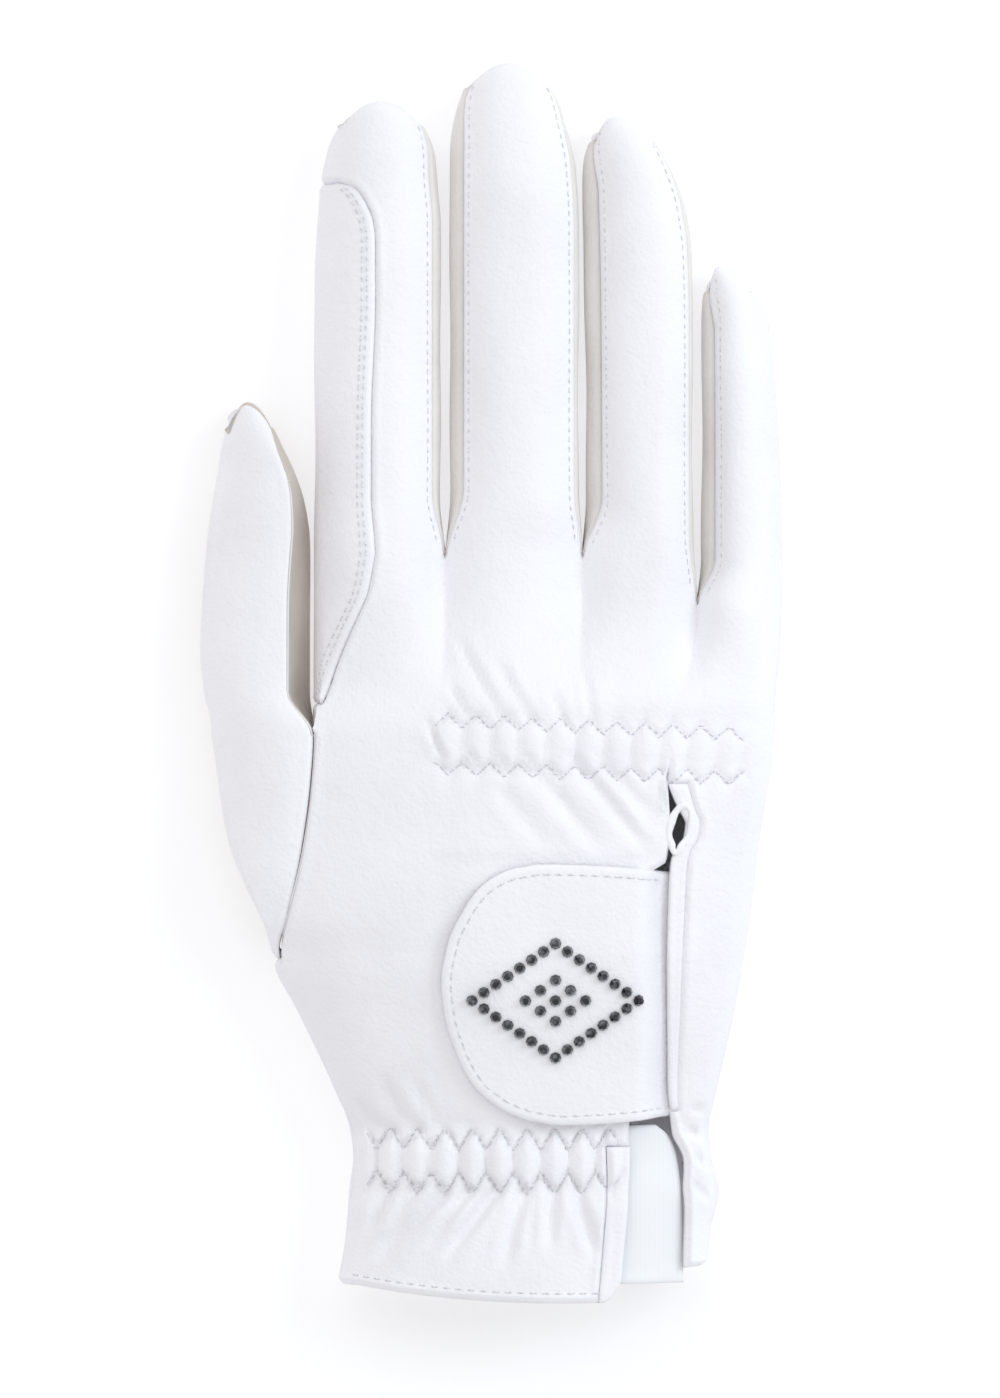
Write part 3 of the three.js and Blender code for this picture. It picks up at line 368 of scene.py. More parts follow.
    def back_span(self, cut: SimpleNamespace, finger: FingerName) -> tuple:
        """Return the two lines that a finger's stretch of the back lies between.

        Args:
            cut: Sections of the hand.
            finger: The finger that the stretch leads to.

        Returns:
            The x of the left and of the right line at each section.
        """
        end = self.section(np.array(1.0))
        width = cut.right_corner - cut.left_corner
        whole = end.right_corner - end.left_corner

        def line(web: float) -> Values:
            """Return the line from the hem to a web."""
            return cut.left_corner + width * (web - end.left_corner) / whole

        def slit(side: str) -> Values:
            """Return one edge of the slit, led on to the web above it."""
            edge = self.right_reach * SLIT.read(side, cut.along)
            return lerp(edge, self.ring_little_web, smooth(cut.along, SLIT_TOP, 1))

        return {
            FingerName.INDEX: (cut.left_corner, line(-self.middle_reach)),
            FingerName.MIDDLE: (line(-self.middle_reach), line(self.middle_reach)),
            FingerName.RING: (line(self.middle_reach), slit("left")),
            FingerName.LITTLE: (slit("right"), cut.right_corner),
        }[finger]

    def palm_span(self, cut: SimpleNamespace, finger: FingerName) -> tuple:
        """Return the two lines that a finger's stretch of the palm lies between.

        Args:
            cut: Sections of the hand.
            finger: The finger that the stretch leads to.

        Returns:
            The x of the left and of the right line at each section.
        """
        end = self.section(np.array(1.0))
        ratio = (cut.right_corner - cut.left_corner) / (end.right_corner - end.left_corner)
        webs = [float(end.left_corner), -self.middle_reach, self.middle_reach,
                self.ring_little_web, float(end.right_corner)]
        place = list(FingerName).index(finger) - 1
        return tuple(cut.left_corner + ratio * (web - end.left_corner)
                     for web in webs[place:place + 2])

    def hand_surface(self, finger: FingerName, along: Values, share: Values,
                     back: bool) -> np.ndarray:
        """One finger's stretch of the back or the palm of the hand.

        Across the hand a point lies a share of the way between the stretch's two lines. Its
        height is the hand's own, and turns smoothly into the finger's first section.

        Args:
            finger: The finger that the stretch leads to.
            along: Places along the hand, in a column.
            share: Places across the stretch, in a row or a grid.
            back: True for the back and False for the palm.

        Returns:
            A grid of points.
        """
        cut = self.section(along)
        low, high = (self.back_span if back else self.palm_span)(cut, finger)
        x = lerp(low, high, share) + 0 * along
        start = self.finger_surface(finger, 0 * along, share, back)
        blend = smooth(along, 0.78, 1)
        height = (self.back_height if back else self.palm_height)(cut, x)
        shift = start[..., 1] - self.level(1.0, start[..., 0])
        y = self.level(along, x) + shift * blend
        return np.stack([x, y, lerp(height, start[..., 2], blend)], axis=-1)

    def finger_ends(self, finger: FingerName, along: Values) -> tuple:
        """Return the left and right corners of a finger's sections, and its two heights.

        Args:
            finger: The finger.
            along: Places along it, from 0 at its notches to 1 at its tip seam.

        Returns:
            The left corners, the right corners, the top and the bottom.
        """
        shape = self.fingers[finger]
        top = shape.height * PROFILE.read("top", along)
        bottom = shape.height * PROFILE.read("bottom", along)
        leave = smooth(along, 0, 0.14)
        ends = []
        for side, notch in enumerate(self.notches[finger]):
            inwards = 1 if side == 0 else -1
            reach = shape.width / 2 * shape.edges.read(("left", "right")[side], along)
            edge = shape.center - inwards * reach
            roll = self.finger_roll * shape.rolls[side] * (1 - 0.6 * smooth(along, 0.86, 1))
            if finger is FingerName.THUMB and side == 1:
                roll = roll * lerp(1.0, 0.35, smooth(along, 0.4, 0.95))
            ends.append(SimpleNamespace(
                edge=lerp(notch.x - inwards * notch.roll, edge, leave),
                x=lerp(notch.x, edge + inwards * roll, leave),
                back=lerp(notch.back, lerp(bottom, top, shape.corners[side]), leave),
                palm=lerp(notch.palm, lerp(bottom, top, 0.2), leave),
            ))
        return ends[0], ends[1], top, bottom

    def finger_surface(self, finger: FingerName, along: Values, share: Values,
                       back: bool) -> np.ndarray:
        """The back or the underside of a finger.

        Across it the surface bows between its corners; along it the sections follow the
        profile, and the last of them arches out to the tip.

        Args:
            finger: The finger.
            along: Places along it, in a column, from 0 at its notches to 1 at its tip seam.
            share: Places across it, in a row or a grid.
            back: True for the back and False for the underside.

        Returns:
            A grid of points.
        """
        shape = self.fingers[finger]
        left, right, top, bottom = self.finger_ends(finger, along)
        starts = self.notches[finger]
        tip = starts[0].y + shape.length - self.tip_round
        arch = self.tip_round * smooth(along, 0.8, 1)
        if not back:
            arch = arch + self.finger_roll * PROFILE.read("bulge", along)
        apex = (shape.center + shape.width / 2 * shape.apex - left.x) / (right.x - left.x)
        apex = np.clip(apex, 0.2, 0.8)
        off = (share - apex) / np.where(share < apex, apex, 1 - apex)
        y = lerp(lerp(starts[0].y, starts[1].y, share), tip, along) + arch * (1 - off * off)
        if back:
            z = lerp(left.back, right.back, share)
            z = z + shape.crown * (top - bottom) * (1 - bow(share, 2.3))
        else:
            z = lerp(bottom, lerp(left.palm, right.palm, share), bow(share, 3))
        lean = shape.height * (lerp(*shape.tip, share) - 0.56)
        z = z + lean * smooth(along, 0.93, 1)
        return np.stack([lerp(left.x, right.x, share), y, z], axis=-1)

    def side(self, start: np.ndarray, end: np.ndarray, edge: Values, share: np.ndarray,
             sink: Values = 1.0) -> np.ndarray:
        """A side wall: straight from one corner to the other, swelling out to the edge.

        The swelling is a parabola, 0 at both corners. Its place is raised to a power, so that
        above 1 the wall first drops and then swells near its end.

        Args:
            start: First corner of each row.
            end: Last corner of each row.
            edge: How far out the wall reaches, in a column.
            share: Places down the wall, in a row.
            sink: The power.

        Returns:
            A grid of points.
        """
        points = lerp(start, end, share[..., None])
        out = edge - (start[..., 0] + end[..., 0]) / 2
        limit = 0.9 * np.abs(start[..., 2] - end[..., 2])
        points[..., 0] += np.clip(out, -limit, limit) * (1 - (2 * share ** sink - 1) ** 2)
        return points

    def finger_side(self, finger: FingerName, along: Values, share: np.ndarray,
                    right: bool) -> np.ndarray:
        """A finger's side: the right one goes down from its back, the left one goes up.

        Args:
            finger: The finger.
            along: Places along it.
            share: Places down or up the wall.
            right: True for the right side.

        Returns:
            A grid of points.
        """
        place = np.full((1, 1), 1.0 if right else 0.0)
        back = self.finger_surface(finger, along, place, True)
        palm = self.finger_surface(finger, along, place, False)
        left_end, right_end, _, _ = self.finger_ends(finger, along)
        if right:
            sunken = finger is FingerName.THUMB
            sink = lerp(3.6, 1.0, smooth(along, 0.62, 0.85)) if sunken else 1.0
            return self.side(back, palm, right_end.edge, share, sink)
        return self.side(palm, back, left_end.edge, share)

    def hand_side(self, along: Values, share: np.ndarray, right: bool) -> np.ndarray:
        """The hand's side: the right one goes down from its back, the left one goes up.

        Args:
            along: Places along the hand, from 0 at the hem to 1 at the notches.
            share: Places down or up the wall.
            right: True for the right side.

        Returns:
            A grid of points.
        """
        finger = FingerName.LITTLE if right else FingerName.INDEX
        place = np.full((1, 1), 1.0 if right else 0.0)
        back = self.hand_surface(finger, along, place, True)
        palm = self.hand_surface(finger, along, place, False)
        cut = self.section(along)
        if right:
            return self.side(back, palm, cut.right, share)
        return self.side(palm, back, cut.left, share)

    def thumb_root(self, along: Values) -> SimpleNamespace:
        """Where the thumb's root stands out from the hand's left corner, row by row.

        Args:
            along: Places along the hand, from 0 at the hem to 1 at the notches.

        Returns:
            The root's edge, its corner's x and two heights, and its crown.
        """
        cut = self.section(along)
        shape = self.fingers[FingerName.THUMB]
        grown = smooth(along, THUMB_START, THUMB_NOTCH)
        begun = smooth(along, THUMB_START, THUMB_OUT)
        out = shape.width * THUMB_ROOT.read("reach", along)
        own_roll = cut.left_corner - cut.left
        roll = lerp(own_roll, self.finger_roll * shape.rolls[0], grown)
        edge = cut.left_corner - out - own_roll * (1 - begun)
        top = shape.height * 1.26
        return SimpleNamespace(
            edge=edge,
            x=cut.left_corner - out + roll * begun,
            back=lerp(cut.top * cut.shoulders[0], top * shape.corners[0], grown),
            palm=lerp(cut.top * cut.heels[0], top * 0.2, grown),
            crown=shape.crown * top * grown,
        )

    def thumb_root_surface(self, along: Values, share: Values, back: bool) -> np.ndarray:
        """The root's back or palm: from its own edge to the hand's corner, bowed between them.

        Args:
            along: Places along the hand, from 0 at the hem to 1 at the notches.
            share: Places across, from 0 at the left to 1 at the right.
            back: True for the back and False for the palm.

        Returns:
            A grid of points.
        """
        root = self.thumb_root(along)
        place = np.zeros((1, 1))
        corner = self.hand_surface(FingerName.INDEX, along, place, back)
        x = lerp(root.x, corner[..., 0], share)
        if back:
            z = lerp(root.back, corner[..., 2], share) + root.crown * (1 - bow(share, 2.3))
        else:
            flat = lerp(root.palm, corner[..., 2], share)
            z = lerp(flat, flat * bow(share, 3), smooth(along, THUMB_START, THUMB_OUT))
        return np.stack([x, corner[..., 1] + 0 * x, z], axis=-1)

    def thumb_root_side(self, along: Values, share: np.ndarray) -> np.ndarray:
        """The root's left side, going up from the palm.

        Args:
            along: Places along the hand, from 0 at the hem to 1 at the notches.
            share: Places down or up the wall.

        Returns:
            A grid of points.
        """
        place = np.zeros((1, 1))
        back = self.thumb_root_surface(along, place, True)
        palm = self.thumb_root_surface(along, place, False)
        return self.side(palm, back, self.thumb_root(along).edge, share)

    def tip_fade(self, points: np.ndarray) -> np.ndarray:
        """Return 0 at the corners of the tips, where three panels meet, and 1 away from them.

        Args:
            points: Points, in the glove's own millimetres.

        Returns:
            A share for each point.
        """
        corners = [self.finger_surface(finger, np.ones((1, 1)), np.array([[0.0, 1.0]]), True)[0]
                   for finger in FingerName]
        gaps = np.linalg.norm(points[:, None] - np.concatenate(corners)[None], axis=2)
        return smooth(gaps.min(axis=1), 1.0, 6.0)

    def place(self, points: np.ndarray) -> np.ndarray:
        """Move points from the glove's own measures to the solids' frame, in metres."""
        return (points + np.array([self.origin_x, self.origin_y, 0.0])) * MM


@dataclass(frozen=True)
class Crease:
    """A straight crease on the back: its two ends, depth and width, in millimetres."""

    x0: float
    y0: float
    x1: float
    y1: float
    depth: float
    width: float
    lip: float = 0.35

    def lift(self, x: np.ndarray, y: np.ndarray) -> np.ndarray:
        """A trough along the line with a raised lip on both sides, fading at its ends.

        Args:
            x: Places across the hand, in millimetres.
            y: Places along it, in millimetres.

        Returns:
            The height at each place.
        """
        run = np.array([self.x1 - self.x0, self.y1 - self.y0])
        length = float(np.hypot(*run))
        way = run / length
        t = ((x - self.x0) * way[0] + (y - self.y0) * way[1]) / length
        side = -(x - self.x0) * way[1] + (y - self.y0) * way[0]
        fade = smooth(t, -0.12, 0.22) * (1 - smooth(t, 0.55, 1.08))
        trough = -bell(side, self.width)
        reach = 1.9 * self.width
        lip = self.lip * (bell(side - reach, self.width) + bell(side + reach, self.width))
        return self.depth * fade * (trough + lip)


@dataclass(frozen=True)
class Shirring:
    """Leather gathered between two zigzag seams, with a row of puffs between them.

    Both seams are triangle waves of one pitch, out of step, so that the puffs are tall where
    the seams part and pinched where they meet.
    """

    left: float
    right: float
    first: float
    pitch: float
    upper: tuple[float, float]
    lower: tuple[float, float]
    wave: float
    puff: float
    crease: float

    def wave_at(self, x: np.ndarray) -> np.ndarray:
        """Return the triangle wave: 1 at a puff's middle and -1 between two puffs."""
        return 1 - 4 * np.abs(np.mod((x - self.first) / self.pitch + 0.5, 1.0) - 0.5)

    def seams(self, x: np.ndarray) -> tuple[np.ndarray, np.ndarray]:
        """Return the heights up the hand of the upper and the lower seam.

        Args:
            x: Places across the hand, in millimetres.

        Returns:
            Both heights, in millimetres.
        """
        share = (x - self.left) / (self.right - self.left)
        wave = self.wave * self.wave_at(x)
        return lerp(*self.upper, share) + wave, lerp(*self.lower, share) - wave

    def lift(self, x: np.ndarray, y: np.ndarray) -> np.ndarray:
        """Puffs between the seams, troughs along them, and short pulls beyond them.

        Args:
            x: Places across the hand, in millimetres.
            y: Places along it, in millimetres.

        Returns:
            The height at each place.
        """
        inside = smooth(x, self.left - 1.5, self.left + 2.5)
        inside = inside * (1 - smooth(x, self.right - 2.5, self.right + 1.5))
        upper, lower = self.seams(x)
        wave = self.wave_at(x)
        between = smooth(y, lower - 0.3, lower + 1.6) * (1 - smooth(y, upper - 1.6, upper + 0.3))
        swell = between * (0.5 + 0.5 * wave) ** 0.7
        troughs = bell(y - upper, 0.75) + bell(y - lower, 0.75)
        pinch = between * (0.5 - 0.5 * wave) ** 3
        above = smooth(y, upper, upper + 0.8) * np.exp(-np.maximum(y - upper, 0) / 3.2)
        below = smooth(-y, -lower, -lower + 0.8) * np.exp(-np.maximum(lower - y, 0) / 3.8)
        pulls = (above + below) * (-wave)
        return inside * (self.puff * swell - self.crease * troughs - 0.6 * self.crease * pinch
                         + 0.42 * self.puff * pulls)


KNUCKLE = Shirring(-15.8, 45.5, -12.6, 5.4, (110.4, 107.4), (101.2, 99.0), 1.25, 0.62, 0.5)
WRIST = Shirring(-29.0, 21.5, -18.65, 5.29, (29.6, 29.6), (21.2, 21.2), 2.1, 1.1, 0.8)
CREASES = (
    Crease(-10.6, 125.5, -1.2, 108.2, 0.55, 0.9), Crease(-12.4, 117.0, -7.4, 108.6, 0.5, 0.8),
    Crease(-3.2, 121.5, 5.2, 107.0, 0.5, 0.85), Crease(7.2, 116.0, 10.2, 108.2, 0.35, 0.8),
    Crease(13.4, 119.5, 15.6, 108.0, 0.3, 0.8), Crease(-16.8, 110.4, -13.0, 101.2, 0.6, 0.7),
    Crease(-8.6, 104.6, -6.2, 99.6, 0.45, 0.7), Crease(-2.8, 103.6, -0.6, 98.8, 0.45, 0.7),
    Crease(2.4, 103.8, 5.0, 99.2, 0.45, 0.7), Crease(4.4, 100.4, 17.2, 84.4, 0.6, 1.5),
    Crease(11.0, 103.2, 27.6, 82.6, 0.65, 1.15), Crease(-3.4, 97.6, 7.6, 84.6, 0.35, 1.6),
    Crease(18.0, 101.5, 27.4, 90.5, 0.4, 1.3), Crease(-13.2, 19.4, -25.5, 7.2, 1.25, 1.3),
    Crease(-2.8, 21.0, -13.8, 6.0, 1.3, 1.25), Crease(1.9, 20.2, -2.2, 4.6, 1.05, 1.3),
    Crease(7.4, 20.4, 6.6, 8.2, 0.9, 1.2), Crease(12.0, 19.2, 16.0, 6.2, 0.95, 1.2),
    Crease(-24.6, 19.4, -28.0, 10.4, 0.9, 1.2), Crease(-19.4, 19.6, -26.6, 5.6, 0.8, 1.3),
    Crease(-8.2, 20.4, -17.6, 7.4, 0.7, 1.1), Crease(4.4, 19.8, 2.6, 7.6, 0.4, 1.0),
    Crease(-20.0, 31.5, -26.5, 43.0, 0.5, 1.2), Crease(-14.6, 31.8, -19.6, 42.0, 0.5, 1.1),
    Crease(-9.4, 31.8, -12.6, 41.0, 0.4, 1.0), Crease(-26.0, 30.6, -31.5, 38.0, 0.5, 1.1),
    Crease(33.6, 31.0, 40.0, 28.6, 0.6, 0.8), Crease(35.2, 26.2, 39.4, 22.6, 0.55, 0.8),
    Crease(28.9, 92.0, 30.2, 103.2, 1.1, 0.4, 0.6), Crease(34.0, 35.5, 39.6, 33.4, 0.45, 0.8),
    Crease(34.6, 21.4, 38.4, 17.0, 0.4, 0.7),
)


@dataclass(frozen=True)
class TabBed:
    """The stretch of the back under the tab, pressed flat: where each edge of it fades."""

    left: tuple[float, float] = (-17.5, -13.5)
    right: tuple[float, float] = (32.0, 34.0)
    bottom: tuple[float, float] = (30.5, 33.0)
    top: tuple[float, float] = (82.8, 85.5)
    depth: float = 0.35

    def share(self, x: np.ndarray, y: np.ndarray) -> np.ndarray:
        """Return 1 under the tab and 0 away from it."""
        inside = smooth(x, *self.left) * (1 - smooth(y, *self.top)) * smooth(y, *self.bottom)
        return inside * (1 - smooth(x, *self.right))


TAB_BED = TabBed()


def back_lift(points: np.ndarray, normals: np.ndarray) -> np.ndarray:
    """How far the leather of the back stands off its plain form, from folds and gathers.

    Args:
        points: Points of the skin, in the glove's own millimetres.
        normals: Their outward directions.

    Returns:
        The distance along each normal, in millimetres.
    """
    x, y = points[:, 0], points[:, 1]
    total = FOLD_GAIN * sum((crease.lift(x, y) for crease in CREASES), np.zeros(len(x)))
    total += KNUCKLE.lift(x, y) + WRIST.lift(x, y)
    on_back = smooth(normals[:, 2], 0.35, 0.8)
    under_tab = TAB_BED.share(x, y)
    return total * on_back * (1 - under_tab) - TAB_BED.depth * under_tab


def elastic_dip(points: np.ndarray, hand_length: float) -> np.ndarray:
    """How far the elastics pull the skin in: a bell across each of them.

    Args:
        points: Points of the skin, in the glove's own millimetres.
        hand_length: The hand's length.

    Returns:
        The depth at each point, in millimetres.
    """
    y = points[:, 1] / hand_length
    across = points[:, 0]
    wrist = sum(bell(y - place, 0.02) for place in WRIST_ELASTICS)
    knuckle = sum(bell(y - place, 0.016) for place in KNUCKLE_ELASTICS)
    reach = smooth(across, -19, -13) * (1 - smooth(across, 42, 50))
    return 0.7 * wrist + 0.4 * knuckle * reach


def drape(points: np.ndarray) -> np.ndarray:
    """A slow unevenness of worn leather: four crossed sine waves, 0.28 mm high at most.

    Args:
        points: Points of the skin, in the glove's own millimetres.

    Returns:
        The height at each point, in millimetres.
    """
    x, y, z = points.T
    return 0.07 * (np.sin(x / 3.1 + y / 7.3 + z / 5.0) + np.sin(y / 4.7 - x / 5.9 + 1.3)
                   + np.sin(x / 9.0 - z / 3.7 + 2.1) + np.sin(y / 11.0 + z / 4.3 + 0.4))


@dataclass(frozen=True)
class SewnEdge:
    """How leather turns in at a seam or a hem, by distance from the edge in millimetres."""

    dip: float = 0.75
    turn: float = 0.5
    ridge: float = 0.3
    ridge_at: float = 1.05
    ridge_width: float = 0.6

    def lift(self, distance: np.ndarray) -> np.ndarray:
        """A fall at the edge itself and a low welt beside it."""
        welt = self.ridge * bell(distance - self.ridge_at, self.ridge_width)
        return -self.dip * bell(distance, self.turn) + welt


@dataclass
class Patch:
    """A grid of points on the skin, and whether its faces are turned over."""

    grid: np.ndarray
    flip: bool = False

    def triangles(self, offset: int) -> np.ndarray:
        """Return the grid's triangles, numbered from offset.

        Args:
            offset: Number of the grid's first point.

        Returns:
            Three numbers for each triangle.
        """
        rows, columns = self.grid.shape[:2]
        ids = np.arange(rows * columns).reshape(rows, columns) + offset
        a, b, c, d = ids[:-1, :-1], ids[:-1, 1:], ids[1:, 1:], ids[1:, :-1]
        faces = np.concatenate([np.stack([a, b, c], -1).reshape(-1, 3),
                                np.stack([a, c, d], -1).reshape(-1, 3)])
        return faces[:, ::-1] if self.flip else faces


def weld(patches: list[Patch]) -> tuple[np.ndarray, np.ndarray]:
    """Join patches into one surface where their points meet.

    Args:
        patches: Grids that share the points of their common borders.

    Returns:
        The points and the triangles without those that have shrunk to a line.
    """
    points, faces, offset = [], [], 0
    for patch in patches:
        faces.append(patch.triangles(offset))
        points.append(patch.grid.reshape(-1, 3))
        offset += patch.grid.shape[0] * patch.grid.shape[1]
    points = np.concatenate(points)
    _, first, group = np.unique(np.round(points / WELD_STEP).astype(np.int64), axis=0,
                                return_index=True, return_inverse=True)
    faces = group.reshape(-1)[np.concatenate(faces)]
    return points[first], faces[np.all(faces != np.roll(faces, 1, axis=1), axis=1)]


def vertex_normals(points: np.ndarray, faces: np.ndarray) -> np.ndarray:
    """Return each point's outward direction: the sum of its faces' normals, by their areas.

    Args:
        points: Its points.
        faces: Its triangles.

    Returns:
        A vector for each point.
    """
    corners = points[faces]
    crosses = np.cross(corners[:, 1] - corners[:, 0], corners[:, 2] - corners[:, 0])
    sums = np.zeros_like(points)
    for corner in range(3):
        np.add.at(sums, faces[:, corner], crosses)
    return sums / np.maximum(np.linalg.norm(sums, axis=1, keepdims=True), 1e-12)


def relax(values: np.ndarray, faces: np.ndarray, rounds: int,
          fixed: np.ndarray | None = None) -> np.ndarray:
    """Even out values over a surface: each point moves half way to its neighbours' mean.

    Args:
        values: Three numbers for each point, such as places or directions.
        faces: The surface's triangles.
        rounds: How often it is done.
        fixed: Numbers of the points that keep their values.

    Returns:
        The evened values.
    """
    start, end = faces.reshape(-1), np.roll(faces, -1, axis=1).reshape(-1)
    both = (np.concatenate([start, end]), np.concatenate([end, start]))
    share = np.maximum(np.bincount(both[0], minlength=len(values)), 1)
    kept = None if fixed is None else values[fixed].copy()
    for _ in range(rounds):
        sums = [np.bincount(both[0], values[both[1], axis], minlength=len(values))
                for axis in range(3)]
        values = lerp(values, np.stack(sums, axis=-1) / share[:, None], 0.5)
        if kept is not None:
            values[fixed] = kept
    return values


def unit(vectors: np.ndarray) -> np.ndarray:
    """Return vectors of length 1 in the same directions."""
    return vectors / np.maximum(np.linalg.norm(vectors, axis=1, keepdims=True), 1e-9)


def border(faces: np.ndarray) -> np.ndarray:
    """Return the edges that belong to one face only, in that face's direction.

    Args:
        faces: Its triangles.

    Returns:
        Two point numbers for each edge.
    """
    edges = np.concatenate([faces[:, [0, 1]], faces[:, [1, 2]], faces[:, [2, 0]]])
    key = np.sort(edges, axis=1)
    _, group, count = np.unique(key, axis=0, return_inverse=True, return_counts=True)
    return edges[count[group.reshape(-1)] == 1]


def border_distance(points: np.ndarray, edges: np.ndarray, limit: float = 4.0) -> np.ndarray:
    """Return each point's distance to the nearest place on the border, up to a limit.

    Args:
        points: The points.
        edges: Two point numbers for each edge of the border.
        limit: The most that is given, in millimetres.

    Returns:
        A distance for each point, in millimetres.
    """
    ends = points[edges]
    marks = np.concatenate([lerp(ends[:, 0], ends[:, 1], share)
                            for share in (0.0, 0.25, 0.5, 0.75)])
    found = np.full(len(points), limit)
    for start in range(0, len(points), CHUNK):
        chunk = points[start:start + CHUNK]
        low, high = chunk.min(axis=0) - limit, chunk.max(axis=0) + limit
        near = marks[np.all((marks >= low) & (marks <= high), axis=1)]
        if len(near):
            gaps = np.linalg.norm(chunk[:, None] - near[None], axis=2).min(axis=1)
            found[start:start + CHUNK] = np.minimum(gaps, limit)
    return found


def new_mesh(name: str, points: np.ndarray, faces: np.ndarray,
             smooth_shading: bool = True) -> bpy.types.Object:
    """Make an object at the origin from triangles, in metres.

    Args:
        name: Name of the object.
        points: Its points.
        faces: Its triangles, outward.
        smooth_shading: Whether its faces are shaded smooth.

    Returns:
        The new object, linked to the scene.
    """
    mesh = bpy.data.meshes.new(name)
    mesh.vertices.add(len(points))
    mesh.vertices.foreach_set("co", np.ascontiguousarray(points, dtype=np.float32).ravel())
    mesh.loops.add(faces.size)
    mesh.loops.foreach_set("vertex_index", np.ascontiguousarray(faces, dtype=np.int32).ravel())
    mesh.polygons.add(len(faces))
    mesh.polygons.foreach_set("loop_start", np.arange(0, faces.size, 3, dtype=np.int32))
    mesh.polygons.foreach_set("use_smooth", np.full(len(faces), smooth_shading))
    mesh.update(calc_edges=True)
    mesh.validate()
    thing = bpy.data.objects.new(name, mesh)
    bpy.context.scene.collection.objects.link(thing)
    return thing


def dress(piece: bpy.types.Object, material: bpy.types.Material, slot: str,
          node: str | None = None) -> None:
    """Give a finished piece its material, hang it under the root and hide the node that it
    replaces.

    Args:
        piece: The piece.
        material: Its material.
        slot: Not used.
        node: The node that it replaces, if it replaces one.
    """
    piece.data.materials.append(material)
    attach(piece, "root")
    if node is not None:
        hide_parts(node)
    log.info("%s: %d triangles", piece.name, len(piece.data.polygons))


def linear(colour: str) -> tuple[float, float, float, float]:
    """Turn an sRGB hex colour into the linear one that the shaders take."""
    parts = [int(colour[place:place + 2], 16) / 255 for place in (1, 3, 5)]
    return (*[p / 12.92 if p <= 0.04045 else ((p + 0.055) / 1.055) ** 2.4 for p in parts], 1.0)


def add_node(tree: bpy.types.NodeTree, kind: str, settings: dict | None = None,
             inputs: dict | None = None) -> bpy.types.Node:
    """Add a node with its settings, values and links.

    Args:
        tree: Tree that it goes into.
        kind: Blender's name for the node's type.
        settings: Properties to set on it.
        inputs: For each input's name or number, a value or the socket that feeds it.

    Returns:
        The node.
    """
    node = tree.nodes.new(kind)
    for name, value in (settings or {}).items():
        setattr(node, name, value)
    for name, value in (inputs or {}).items():
        if isinstance(value, bpy.types.NodeSocket):
            tree.links.new(value, node.inputs[name])
        else:
            node.inputs[name].default_value = value
    return node


def new_material(name: str) -> tuple[bpy.types.Material, bpy.types.NodeTree,
                                     bpy.types.NodeSocket]:
    """Make a material with an empty tree.

    Args:
        name: Its name.

    Returns:
        The material, its tree and the object coordinates in it.
    """
    material = bpy.data.materials.new(name)
    material.use_nodes = True
    tree = material.node_tree
    tree.nodes.clear()
    return material, tree, add_node(tree, "ShaderNodeTexCoord").outputs["Object"]


def add_surface(tree: bpy.types.NodeTree, inputs: dict) -> None:
    """Add a principled shader with its values and links, on the material's output."""
    shader = add_node(tree, "ShaderNodeBsdfPrincipled", inputs=inputs)
    add_node(tree, "ShaderNodeOutputMaterial", inputs={"Surface": shader.outputs["BSDF"]})


def ramp(tree: bpy.types.NodeTree, factor: bpy.types.NodeSocket,
         stops: list[tuple[float, str]]) -> bpy.types.Node:
    """Add a colour ramp through stops of a place and a hex colour.

    Args:
        tree: Tree that it goes into.
        factor: Socket that it reads.
        stops: Pairs of a place and a hex colour, in order.

    Returns:
        The node.
    """
    node = add_node(tree, "ShaderNodeValToRGB", inputs={"Fac": factor})
    elements = node.color_ramp.elements
    elements[0].position, elements[0].color = stops[0][0], linear(stops[0][1])
    elements[1].position, elements[1].color = stops[-1][0], linear(stops[-1][1])
    for place, colour in stops[1:-1]:
        elements.new(place).color = linear(colour)
    return node


